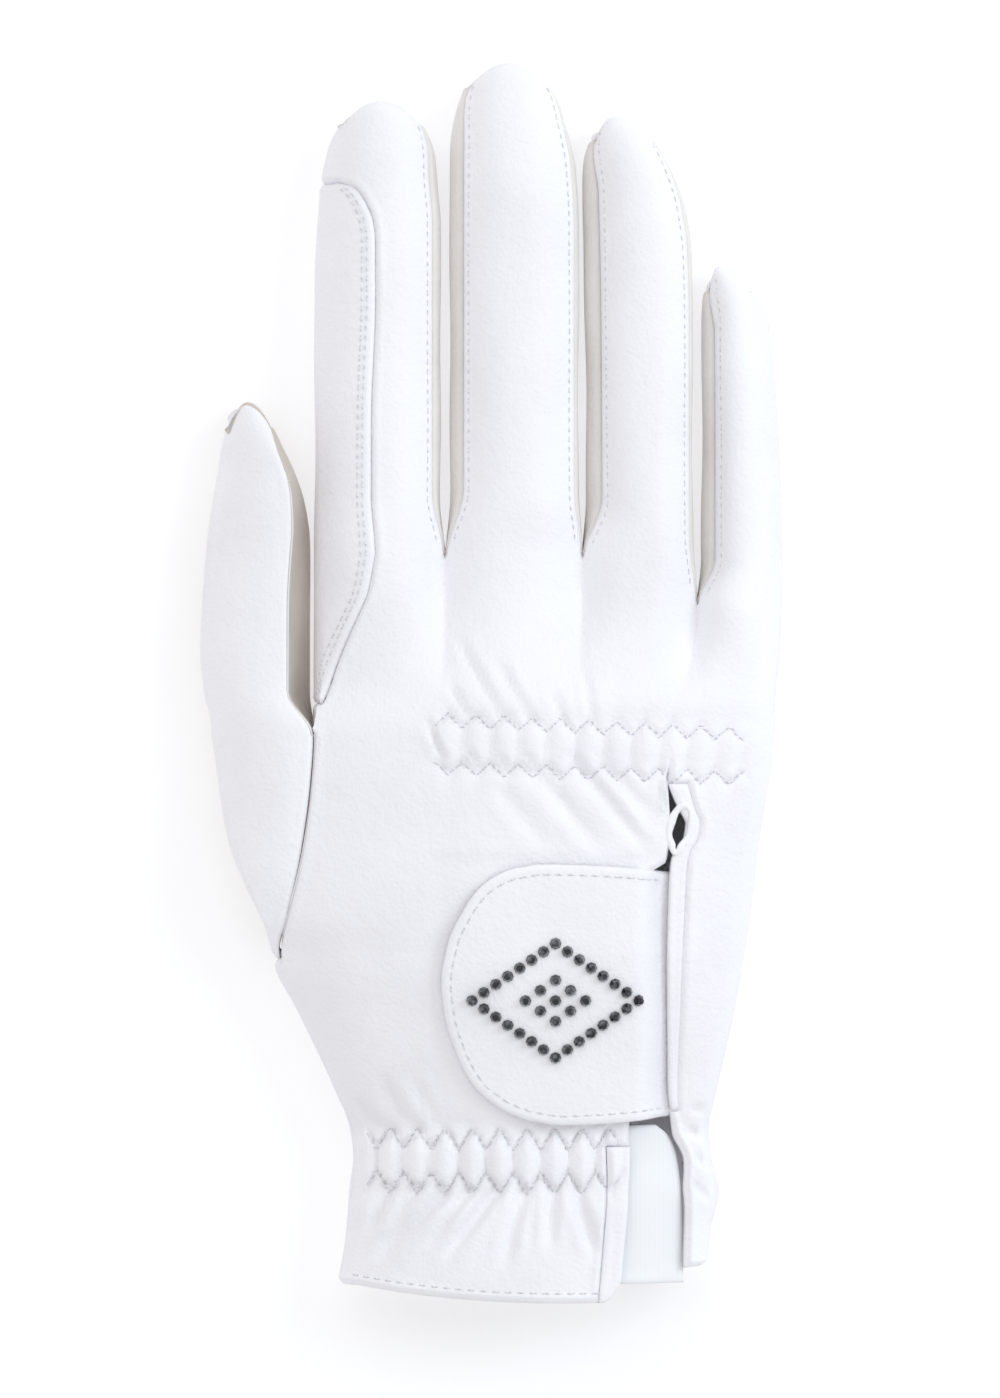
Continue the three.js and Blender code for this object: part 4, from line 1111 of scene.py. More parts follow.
@dataclass(frozen=True)
class WhiteLeather:
    """Synthetic nappa, embossed and finished matt: an even white with a fine pebble.

    The grain is drawn at 0.8 mm, about twice its real size, so that it shows at all. The
    other fields are the sizes in millimetres of its clouds and pores, and the pores' depth.
    """

    name: str = "white_synthetic_nappa"
    light: str = "#f6f5f9"
    shade: str = "#f1f0f4"
    roughness: float = 0.56
    grain: float = 0.8
    grain_height: float = 0.14
    cloud: float = 22.0
    pore: float = 2.2
    pore_height: float = 0.32

    def make(self) -> bpy.types.Material:
        """Make the material: pebbles and pores as height, slow clouds as colour and gloss.

        Returns:
            The material.
        """
        material, tree, spot = new_material(self.name)
        clouds = add_node(tree, "ShaderNodeTexNoise", inputs={
            "Vector": spot, "Scale": 1 / (self.cloud * MM), "Detail": 3.0, "Roughness": 0.55})
        pebbles = add_node(tree, "ShaderNodeTexVoronoi", {"feature": "SMOOTH_F1"}, {
            "Vector": spot, "Scale": 1 / (self.grain * MM), "Smoothness": 0.6, "Randomness": 0.9})
        creases = add_node(tree, "ShaderNodeTexNoise", inputs={
            "Vector": spot, "Scale": 1 / (self.pore * MM), "Detail": 5.0, "Roughness": 0.65})
        colour = ramp(tree, clouds.outputs["Fac"], [(0.32, self.shade), (0.62, self.light)])
        gloss = add_node(tree, "ShaderNodeMapRange", inputs={
            "Value": clouds.outputs["Fac"], "From Min": 0.3, "From Max": 0.7,
            "To Min": self.roughness - 0.05, "To Max": self.roughness + 0.06})
        fine = add_node(tree, "ShaderNodeBump", inputs={
            "Height": pebbles.outputs["Distance"], "Strength": 0.6,
            "Distance": self.grain_height * MM})
        bumps = add_node(tree, "ShaderNodeBump", inputs={
            "Height": creases.outputs["Fac"], "Strength": 0.8,
            "Distance": self.pore_height * MM, "Normal": fine.outputs["Normal"]})
        add_surface(tree, {
            "Base Color": colour.outputs["Color"], "Roughness": gloss.outputs["Result"],
            "Normal": bumps.outputs["Normal"], "IOR": 1.46, "Specular IOR Level": 0.35,
            "Sheen Weight": 0.06, "Sheen Roughness": 0.5})
        return material


GAP_SHADE_MICROFIBRE = WhiteLeather("off_white_microfibre_painted_shade", "#ebe7e4", "#e3deda", 0.8, 1.0,
                                 0.05)
# Sueded microfibre of the strips between the fingers: softer and matt, in a warm off-white darker
# than the leather, which is painted shade for the gaps between the fingers.
"""Sueded microfibre of the strips between the fingers: softer, matt, and a warm off-white."""
THUMB_SHADE_MICROFIBRE = WhiteLeather("greige_microfibre_painted_shade", "#d2c9c1", "#c6bcb3", 0.85, 1.0, 0.05)
# Sueded microfibre inside the thumb: a matt warm grey, darker than the leather, which is painted
# shade for the shadow between the thumb and the index finger.
"""Sueded microfibre inside the thumb, undyed: a matt warm grey, darker than the leather."""


@dataclass(frozen=True)
class StretchKnit:
    """A fine polyamide jersey: matt white, with ribs of knitted loops 0.9 mm apart."""

    name: str = "white_polyamide_jersey"
    light: str = "#f3f4f7"
    shade: str = "#f1f2f5"
    rib: float = 0.9

    def make(self) -> bpy.types.Material:
        """Make the material: two crossed waves as loops, with painted shade darkening their
        valleys.

        Returns:
            The material.
        """
        material, tree, spot = new_material(self.name)
        scale = 2 * math.pi / (20 * self.rib * MM)
        ribs, loops = (
            add_node(tree, "ShaderNodeTexWave", {"wave_type": "BANDS", "bands_direction": axis}, {
                "Vector": spot, "Scale": scale * density, "Distortion": distortion})
            for axis, density, distortion in (("X", 1.0, 0.0), ("Y", 1.3, 0.6)))
        height = add_node(tree, "ShaderNodeMath", {"operation": "ADD"}, {
            0: ribs.outputs["Fac"], 1: loops.outputs["Fac"]})
        # The ribs' valleys are darkened here as painted shade.
        colour = ramp(tree, ribs.outputs["Fac"], [(0.0, self.shade), (0.6, self.light)])
        bump = add_node(tree, "ShaderNodeBump", inputs={
            "Height": height.outputs["Value"], "Strength": 0.2, "Distance": 0.015 * MM})
        add_surface(tree, {"Base Color": colour.outputs["Color"], "Roughness": 0.85,
                           "Normal": bump.outputs["Normal"], "Sheen Weight": 0.15})
        return material


@dataclass(frozen=True)
class SewingThread:
    """Bonded polyester thread: white, slightly glossy, twisted every 0.5 mm."""

    name: str = "white_polyester_thread"
    light: str = "#e9e8ec"
    shade: str = "#cdcbd2"
    twist: float = 0.5

    def make(self) -> bpy.types.Material:
        """Make the material: slanting bands for the twist, as height and as painted shade that
        darkens its grooves.

        Returns:
            The material.
        """
        material, tree, spot = new_material(self.name)
        bands = {"wave_type": "BANDS", "bands_direction": "DIAGONAL"}
        twist = add_node(tree, "ShaderNodeTexWave", bands, {
            "Vector": spot, "Scale": 2 * math.pi / (20 * self.twist * MM)})
        # The twist's grooves are darkened here as painted shade.
        colour = ramp(tree, twist.outputs["Fac"], [(0.1, self.shade), (0.8, self.light)])
        bump = add_node(tree, "ShaderNodeBump", inputs={
            "Height": twist.outputs["Fac"], "Strength": 0.4, "Distance": 0.04 * MM})
        add_surface(tree, {"Base Color": colour.outputs["Color"], "Roughness": 0.48,
                           "Normal": bump.outputs["Normal"]})
        return material


@dataclass(frozen=True)
class DarkCutGlass:
    """Smoke-grey cut glass on a foil back: near black, with hard bright flashes from its polished
    coat and lighter spots of painted glint in its colour.
    """

    name: str = "smoke_grey_cut_glass"
    deep: str = "#1d1e23"
    painted_glint: str = "#6d7078"

    def make(self) -> bpy.types.Material:
        """Make the material: lighter patches of painted glint, standing for the foil's flashes,
        under a clear, polished surface.

        Returns:
            The material.
        """
        material, tree, spot = new_material(self.name)
        foil = add_node(tree, "ShaderNodeTexVoronoi", {"feature": "F1"}, {
            "Vector": spot, "Scale": 1 / (1.1 * MM)})
        # The lighter spots in the middle of each cell are painted glints.
        colour = ramp(tree, foil.outputs["Distance"], [(0.15, self.painted_glint), (0.6, self.deep)])
        add_surface(tree, {"Base Color": colour.outputs["Color"], "Metallic": 0.55,
                           "Roughness": 0.12, "Coat Weight": 0.8, "Coat Roughness": 0.03})
        return material


@dataclass(frozen=True)
class LightTable:
    """Opal acrylic sheet lit from below: an even white on which shadows are faint."""

    name: str = "lit_opal_acrylic"
    tone: str = "#c4c4c6"
    glow: float = 0.5

    def make(self) -> bpy.types.Material:
        """Make the material: a matt sheet with its own light and a trace of cloud in its gloss.

        Returns:
            The material.
        """
        material, tree, spot = new_material(self.name)
        clouds = add_node(tree, "ShaderNodeTexNoise", inputs={"Vector": spot, "Scale": 9.0})
        gloss = add_node(tree, "ShaderNodeMapRange", inputs={
            "Value": clouds.outputs["Fac"], "To Min": 0.88, "To Max": 0.98})
        add_surface(tree, {
            "Base Color": linear(self.tone), "Roughness": gloss.outputs["Result"],
            "Specular IOR Level": 0.1, "Emission Color": linear("#ffffff"),
            "Emission Strength": self.glow})
        return material


@dataclass
class Panel:
    """A sewn piece with its wall: an outer surface, its offset inside, and a rim."""

    name: str
    material: bpy.types.Material
    slot: str = "white_leather"
    thickness: float = 1.2
    edge: SewnEdge = field(default_factory=SewnEdge)
    folded: bool = False
    points: np.ndarray = field(init=False, default=None)
    faces: np.ndarray = field(init=False, default=None)

    def build(self, form: GloveForm, patches: list[Patch]) -> bpy.types.Object:
        """Build the closed wall and put it in place of its node.

        The outer surface is moved along its normals by its folds and by its sewn edge. The
        inner one follows it at the wall's thickness, and a rim joins the two along the border.

        Args:
            form: The glove's form.
            patches: The outer surface.

        Returns:
            The object.
        """
        points, faces = weld(patches)
        edges = border(faces)
        rim = np.unique(edges)
        points = relax(points, faces, rounds=2, fixed=rim)
        normals = unit(relax(vertex_normals(points, faces), faces, rounds=4))
        distance = border_distance(points, edges)
        lift = self.edge.lift(distance) * lerp(0.12, 1.0, form.tip_fade(points))
        lift += drape(points) * smooth(distance, 0.5, 3.0)
        dip = elastic_dip(points, form.hand_length) if self.folded else 0 * lift
        if self.folded:
            lift += back_lift(points, normals) * smooth(distance, 0.0, 1.2) - dip
        outer = points + normals * lift[:, None]
        outer[:, 2] = np.maximum(outer[:, 2], 0.0)
        deep = unit(relax(normals, faces, rounds=12))
        inner = points - deep * (self.thickness + np.maximum(dip, 0))[:, None]
        inner = relax(inner, faces, rounds=6, fixed=rim)
        inner[rim] = outer[rim] - deep[rim] * self.thickness
        count = len(points)
        a, b = edges.T
        turned = np.concatenate([np.stack([b, a, a + count], -1),
                                 np.stack([b, a + count, b + count], -1)])
        shell = np.concatenate([faces, faces[:, ::-1] + count, turned])
        kind = "leather" if self.slot == "white_leather" else "knit"
        thing = new_mesh(f"{self.name}_{kind}", form.place(np.concatenate([outer, inner])), shell)
        dress(thing, self.material, self.slot, self.name)
        self.points, self.faces = outer, faces
        return thing


def steps(width: float, coarse: float = 0.85, fine: float = 0.4,
          edge_steps: int = 4) -> np.ndarray:
    """Return shares across a width, closer together near both edges.

    Args:
        width: The width, in millimetres.
        coarse: Spacing in the middle.
        fine: Spacing at the edges.
        edge_steps: How many fine steps each edge has.

    Returns:
        The shares from 0 to 1.
    """
    near = fine * np.arange(edge_steps + 1)
    middle = width - 2 * near[-1]
    count = max(2, int(round(middle / coarse)))
    inner = near[-1] + middle * np.arange(1, count) / count
    return np.concatenate([near, inner, width - near[::-1]]) / width


@dataclass
class GloveSkin:
    """The ten leather panels of the skin, cut from one form along its seams."""

    form: GloveForm
    leather: bpy.types.Material
    gap_shade: bpy.types.Material
    thumb_shade: bpy.types.Material
    panels: dict = field(default_factory=dict)

    # Key places, each with the spacing of the rows after it in millimetres. All five fingers
    # have the rows of a finger that is ROW_LENGTH long.
    HAND_KEYS = ((0.0, 0.5), (0.03, 0.8), (0.12, 0.62), (FACING_TOP, 0.62), (STRIP_START, 1.15),
                 (THUMB_START, 1.15), (0.583, 0.75), (SLIT_TOP, 0.62), (THUMB_NOTCH, 0.65),
                 (REIN_START, 0.95), (1.0, 0.0))
    FINGER_KEYS = ((0.0, 1.0), (REIN_END, 0.55), (0.965, 0.3), (1.0, 0.0))
    ROW_LENGTH = 85.0

    def rows(self, keys: tuple, length: float, start: float, end: float) -> np.ndarray:
        """Return a column of places along a part, between two of its key places.

        Args:
            keys: Key places, each with the spacing after it.
            length: The part's length, in millimetres.
            start: Place along the part where it starts.
            end: Place where it ends.

        Returns:
            The places.
        """
        places = [keys[0][0]]
        for (low, spacing), (high, _) in zip(keys, keys[1:]):
            count = max(1, int(round((high - low) * length / spacing)))
            places.extend(low + (high - low) * np.arange(1, count + 1) / count)
        places = np.array(places)
        kept = places[(places > start - 1e-9) & (places < end + 1e-9)]
        return kept[:, None]

    def hand_rows(self, start: float, end: float) -> np.ndarray:
        """Return the rows of the hand between two key places."""
        return self.rows(self.HAND_KEYS, self.form.hand_length, start, end)

    def finger_rows(self, start: float, end: float) -> np.ndarray:
        """Return the rows of a finger between two key places."""
        return self.rows(self.FINGER_KEYS, self.ROW_LENGTH, start, end)

    def across(self, finger: FingerName) -> dict[str, np.ndarray]:
        """Return the shares across a finger, cut where a seam or an edge runs along it.

        Args:
            finger: The finger.

        Returns:
            The shares of each strip, by its name.
        """
        width = self.form.fingers[finger].width
        if finger is FingerName.INDEX:
            return {"patch": steps(width * 0.4, 0.95, 0.4, 3),
                    "rest": steps(width * 0.6, 0.9, 0.4, 3)}
        if finger is FingerName.RING:
            return {"main": 0.66 * steps(width * 0.66, 0.85, 0.4, 3),
                    "facing": 0.66 + 0.34 * steps(width * 0.34, 0.8, 0.4, 3)}
        if finger is FingerName.LITTLE:
            return {"strip": 0.22 * steps(width * 0.22, 0.6, 0.4, 2),
                    "main": 0.22 + 0.78 * steps(width * 0.78, 0.85, 0.4, 3)}
        return {"main": steps(width)}

    def index_share(self, along: np.ndarray, in_hand: bool, part: str) -> np.ndarray:
        """Return shares on one side of the rein patch's edge, which runs along the rows.

        Args:
            along: Places along the part, in a column.
            in_hand: True on the hand and False on the finger.
            part: patch or rest.

        Returns:
            A grid of shares.
        """
        edge = (PATCH_HAND if in_hand else PATCH_FINGER).read("share", along)
        cuts = self.across(FingerName.INDEX)
        if part == "patch":
            return edge * cuts["patch"][None, :]
        return edge + (1 - edge) * cuts["rest"][None, :]

    def back(self, finger: FingerName, start: float, end: float, part: str,
             in_hand: bool) -> Patch:
        """Return one strip of a finger's back, or of the hand's back below it.

        Args:
            finger: The finger.
            start: Place along the part where it starts.
            end: Place where it ends.
            part: The strip's name.
            in_hand: True on the hand and False on the finger.

        Returns:
            The patch.
        """
        along = self.hand_rows(start, end) if in_hand else self.finger_rows(start, end)
        if finger is FingerName.INDEX:
            share = self.index_share(along, in_hand, part)
        else:
            share = self.across(finger)[part][None, :]
        surface = self.form.hand_surface if in_hand else self.form.finger_surface
        return Patch(surface(finger, along, share, True))

    def palm(self, finger: FingerName, start: float, end: float, low: float, high: float,
             in_hand: bool) -> Patch:
        """Return one strip of a finger's underside, or of the palm below it.

        Args:
            finger: The finger.
            start: Place along the part where it starts.
            end: Place where it ends.
            low: Share across where it begins.
            high: Share across where it ends.
            in_hand: True on the hand and False on the finger.

        Returns:
            The patch.
        """
        along = self.hand_rows(start, end) if in_hand else self.finger_rows(start, end)
        count = max(3, int(round((high - low) * self.form.fingers[finger].width / 1.3)))
        share = np.linspace(low, high, count + 1)[None, :]
        surface = self.form.hand_surface if in_hand else self.form.finger_surface
        return Patch(surface(finger, along, share, False), True)

    def side(self, finger: FingerName | None, start: float, end: float, low: float, high: float,
             right: bool) -> Patch:
        """Return part of a side wall of a finger, or of the hand where finger is None.

        Args:
            finger: The finger, or None.
            start: Place along the part where it starts.
            end: Place where it ends.
            low: Share across where it begins.
            high: Share across where it ends.
            right: True for the right side.

        Returns:
            The patch.
        """
        count = max(4, int(round((high - low) * 16)))
        share = np.linspace(low, high, count + 1)[None, :]
        if finger is None:
            return Patch(self.form.hand_side(self.hand_rows(start, end), share, right))
        return Patch(self.form.finger_side(finger, self.finger_rows(start, end), share, right))

    def back_patches(self) -> list[Patch]:
        """Cut the back panel: the hand's back, four fingers and the upper halves of the sides.

        Returns:
            Its patches.
        """
        name = FingerName
        hand = [
            self.back(name.INDEX, 0, REIN_START, "patch", True),
            self.back(name.INDEX, 0, 1, "rest", True),
            self.back(name.MIDDLE, 0, 1, "main", True),
            self.back(name.RING, 0, 1, "main", True),
            self.back(name.RING, FACING_TOP, 1, "facing", True),
            self.back(name.LITTLE, 0, STRIP_START, "strip", True),
            self.back(name.LITTLE, SLIT_TOP, 1, "strip", True),
            self.back(name.LITTLE, 0, 1, "main", True),
            self.side(None, 0, THUMB_START, 0.5, 1, False),
            self.side(None, THUMB_NOTCH, REIN_START, 0.5, 1, False),
            self.side(None, 0, 1, 0, 0.5, True),
        ]
        fingers = [
            self.back(name.INDEX, 0, 1, "rest", False),
            self.back(name.INDEX, REIN_END, 1, "patch", False),
            self.side(name.INDEX, REIN_END, 1, 0.5, 1, False),
            self.back(name.MIDDLE, 0, 1, "main", False),
            self.back(name.RING, 0, 1, "main", False),
            self.back(name.RING, 0, 1, "facing", False),
            self.back(name.LITTLE, 0, 1, "strip", False),
            self.back(name.LITTLE, 0, 1, "main", False),
            self.side(name.LITTLE, 0, 1, 0, 0.5, True),
        ]
        return hand + fingers

    def palm_patches(self) -> list[Patch]:
        """Cut the palm panel: the palm, four undersides and the lower halves of the sides.

        Returns:
            Its patches.
        """
        name = FingerName
        patches = [
            self.palm(name.INDEX, 0, REIN_START, 0, 0.3, True),
            self.palm(name.INDEX, 0, 1, 0.3, 1, True),
            self.side(None, 0, THUMB_START, 0, 0.5, False),
            self.side(None, THUMB_NOTCH, REIN_START, 0, 0.5, False),
            self.side(None, 0, 1, 0.5, 1, True),
            self.palm(name.INDEX, 0, 1, 0.3, 1, False),
            self.palm(name.INDEX, REIN_END, 1, 0, 0.3, False),
            self.side(name.INDEX, REIN_END, 1, 0, 0.5, False),
            self.side(name.LITTLE, 0, 1, 0.5, 1, True),
        ]
        for finger in (name.MIDDLE, name.RING, name.LITTLE):
            patches += [self.palm(finger, 0, 1, 0, 1, True),
            self.palm(finger, 0, 1, 0, 1, False)]
        return patches

    def rein_patches(self) -> list[Patch]:
        """Cut the rein patch, wrapped round the thumb side of the index finger.

        Returns:
            Its patches.
        """
        name = FingerName
        return [
            self.back(name.INDEX, REIN_START, 1, "patch", True),
            self.palm(name.INDEX, REIN_START, 1, 0, 0.3, True),
            self.side(None, REIN_START, 1, 0, 1, False),
            self.back(name.INDEX, 0, REIN_END, "patch", False),
            self.palm(name.INDEX, 0, REIN_END, 0, 0.3, False),
            self.side(name.INDEX, 0, REIN_END, 0, 1, False),
        ]

    def thumb_patches(self, back: bool) -> list[Patch]:
        """Cut one half of the thumb, from its root to its tip.

        Args:
            back: True for the back half and False for the front one.

        Returns:
            Its patches.
        """
        thumb = FingerName.THUMB
        root = self.hand_rows(THUMB_START, THUMB_NOTCH)
        low, high = (0.5, 1.0) if back else (0.0, 0.5)
        share = steps(self.form.fingers[thumb].width, 0.85 if back else 1.3)[None, :]
        half = np.linspace(low, high, 9)[None, :]
        patches = [
            Patch(self.form.thumb_root_surface(root, share, back), not back),
            Patch(self.form.thumb_root_side(root, half)),
            Patch(self.form.finger_surface(thumb, self.finger_rows(0, 1), share, back), not back),
            self.side(thumb, 0, 1, low, high, False),
        ]
        return patches if back else patches + [self.side(thumb, 0, 1, 0, 1, True)]

    def build(self) -> None:
        """Build every panel in place of its node."""
        name = FingerName
        seam = SewnEdge()
        hem = SewnEdge(dip=0.35, turn=0.4, ridge=0.12, ridge_at=1.0, ridge_width=0.7)
        narrow = SewnEdge(dip=0.35, turn=0.4, ridge=0.06, ridge_at=1.0, ridge_width=0.6)
        soft_hem = SewnEdge(dip=0.25, turn=0.35, ridge=0.05, ridge_at=0.9, ridge_width=0.6)
        raised = SewnEdge(dip=0.3, turn=0.3, ridge=0.22, ridge_at=1.0, ridge_width=0.8)
        cut = {
            "back_panel": (self.back_patches(), seam, True),
            "palm_panel": (self.palm_patches(), seam, False),
            "index_side_panel": (self.rein_patches(), raised, False),
            "thumb_back": (self.thumb_patches(True), narrow, False),
            "thumb_front": (self.thumb_patches(False), narrow, False),
            "slit_strip": (
                [self.back(name.LITTLE, STRIP_START, SLIT_TOP, "strip", True)], hem, True),
            "cuff_facing": ([self.back(name.RING, 0, FACING_TOP, "facing", True)], soft_hem, True),
        }
        fingers = list(FingerName)[1:]
        for near, far in zip(fingers, fingers[1:]):
            walls = [self.side(near, 0, 1, 0, 1, True), self.side(far, 0, 1, 0, 1, False)]
            cut[f"fourchette_{near.value}_{far.value}"] = (walls, narrow, False)
        for node, (patches, edge, folded) in cut.items():
            # Fourchettes take the microfibre whose darker off-white is painted shade for the gaps
            # between the fingers.
            finish = self.gap_shade if node.startswith("fourchette") else self.leather
            # The thumb's front takes the grey of painted shade, for the shadow between the thumb
            # and the index finger.
            if node == "thumb_front":
                finish = self.thumb_shade
            self.panels[node] = Panel(node, finish, edge=edge, folded=folded)
            self.panels[node].build(self.form, patches)


@dataclass
class ClosureTab:
    """The rounded tab over the wrist, whose root lies under the strip beside the slit."""

    form: GloveForm
    leather: bpy.types.Material
    length: float = 43.8
    width: float = 50.2
    thickness: float = 1.6
    clearance: float = 0.4
    tuck: float = 2.4
    bottom_share: float = 0.228
    rows: int = 64
    panel: Panel = field(init=False, default=None)

    def __post_init__(self) -> None:
        """Work out where the tab's root is, from the slit's right edge."""
        self.root = float(self.form.right_reach * SLIT.read("right", 0.45))
        self.bottom = self.form.hand_length * self.bottom_share
        self.dip = self.clearance + self.thickness + self.form.leather + 0.9

    def under(self, x: np.ndarray, y: np.ndarray) -> np.ndarray:
        """Return the tab's lower face: the back's height, dipping under the strip."""
        back = self.form.back_height(self.form.section(y / self.form.hand_length), x)
        return back + self.clearance - self.dip * smooth(x, self.root - 5.9, self.root - 0.9)

    def surface(self, share: np.ndarray, row: np.ndarray, lift: float) -> np.ndarray:
        """Return points of the tab: from its free edge to its root, and across its width.

        Args:
            share: Places from the free edge to the root.
            row: Places across the width.
            lift: Height above the lower face.

        Returns:
            A grid of points.
        """
        free = self.root - self.length * TAB_EDGE.read("reach", row)
        x = lerp(free, self.root + self.tuck, share)
        y = self.bottom + self.width * (0.5 + (row - 0.5) * (1 - 0.07 * share * share)) + 0 * x
        return np.stack([x, y, self.under(x, y) + lift], axis=-1)

    def build(self) -> None:
        """Build the tab in place of its node."""
        share = steps(self.length, 0.9, 0.35, 5)[None, :]
        even = np.linspace(0, 1, self.rows)[:, None]
        row = (0.5 - 0.5 * np.cos(np.pi * even)) * 0.55 + even * 0.45
        edge = SewnEdge(dip=0.3, turn=0.4, ridge=0.12, ridge_at=1.1, ridge_width=0.6)
        self.panel = Panel("closure_tab", self.leather, thickness=self.thickness - 0.1, edge=edge)
        self.panel.build(self.form, [Patch(self.surface(share, row, self.thickness))])


@dataclass
class WristGusset:
    """The plain stretch underlap below the slit."""

    form: GloveForm
    knit: bpy.types.Material
    thickness: float = 1.0
    start: float = 1.6
    length: float = 30.5
    clearance: float = 0.3

    def build(self) -> None:
        """Build the underlap: it runs level with the back, clear below its gathers."""
        share = np.linspace(0, 1, 42)[None, :]
        row = np.linspace(0, 1, 52)[:, None]
        left = self.form.right_reach * 0.32
        x = lerp(left, self.form.right_reach * GUSSET_EDGE.read("right", row), share)
        y = self.start + self.length * row + 0 * x
        depth = self.form.leather + 0.4 + self.form.shirr_depth + self.clearance
        z = self.form.back_height(self.form.section(y / self.form.hand_length), x) - depth
        edge = SewnEdge(dip=0.25, turn=0.4, ridge=0.08)
        panel = Panel("wrist_gusset", self.knit, "white_stretch", self.thickness, edge)
        cloth = panel.build(self.form, [Patch(np.stack([x, y, z], axis=-1))])
        widest = float((x[:, -1] - x[:, 0]).max())
        area = float((x[:, -1] - x[:, 0]).mean()) * self.length
        log.info("wrist_gusset: cut %.1f by %.1f mm, %.0f mm2", widest, self.length, area)


@dataclass(frozen=True)
class Stitch:
    """One kind of stitch: its length, the distance to the next, and the thread's radius."""

    length: float = 1.5
    pitch: float = 2.1
    radius: float = 0.17
    sink: float = 0.35

    def template(self) -> tuple[np.ndarray, np.ndarray]:
        """Return a short round-ended thread along X: rings whose radius is a half ellipse.

        Returns:
            Its points and its triangles.
        """
        rings, sides = 6, 6
        t = np.linspace(-1, 1, rings)
        radius = np.sqrt(np.maximum(1 - np.abs(t) ** 3, 0.02))
        angle = 2 * np.pi * np.arange(sides) / sides
        ring = np.stack([np.zeros(sides), np.cos(angle), np.sin(angle)], axis=-1)
        points = ring[None] * radius[:, None, None] * np.array([0, self.radius, self.radius])
        points[..., 0] = t[:, None] * self.length / 2
        ends = [[-self.length / 2, 0, 0], [self.length / 2, 0, 0]]
        points = np.concatenate([points.reshape(-1, 3), ends])
        ids = np.arange(rings * sides).reshape(rings, sides)
        a, b = ids[:-1], ids[1:]
        quads = [np.stack([a, b, np.roll(b, -1, 1)], -1),
                 np.stack([a, np.roll(b, -1, 1), np.roll(a, -1, 1)], -1)]
        first, last = rings * sides, rings * sides + 1
        caps = [np.stack([np.full(sides, first), ids[0], np.roll(ids[0], -1)], -1),
                np.stack([np.full(sides, last), np.roll(ids[-1], -1), ids[-1]], -1)]
        return points, np.concatenate([part.reshape(-1, 3) for part in quads + caps])[:, ::-1]


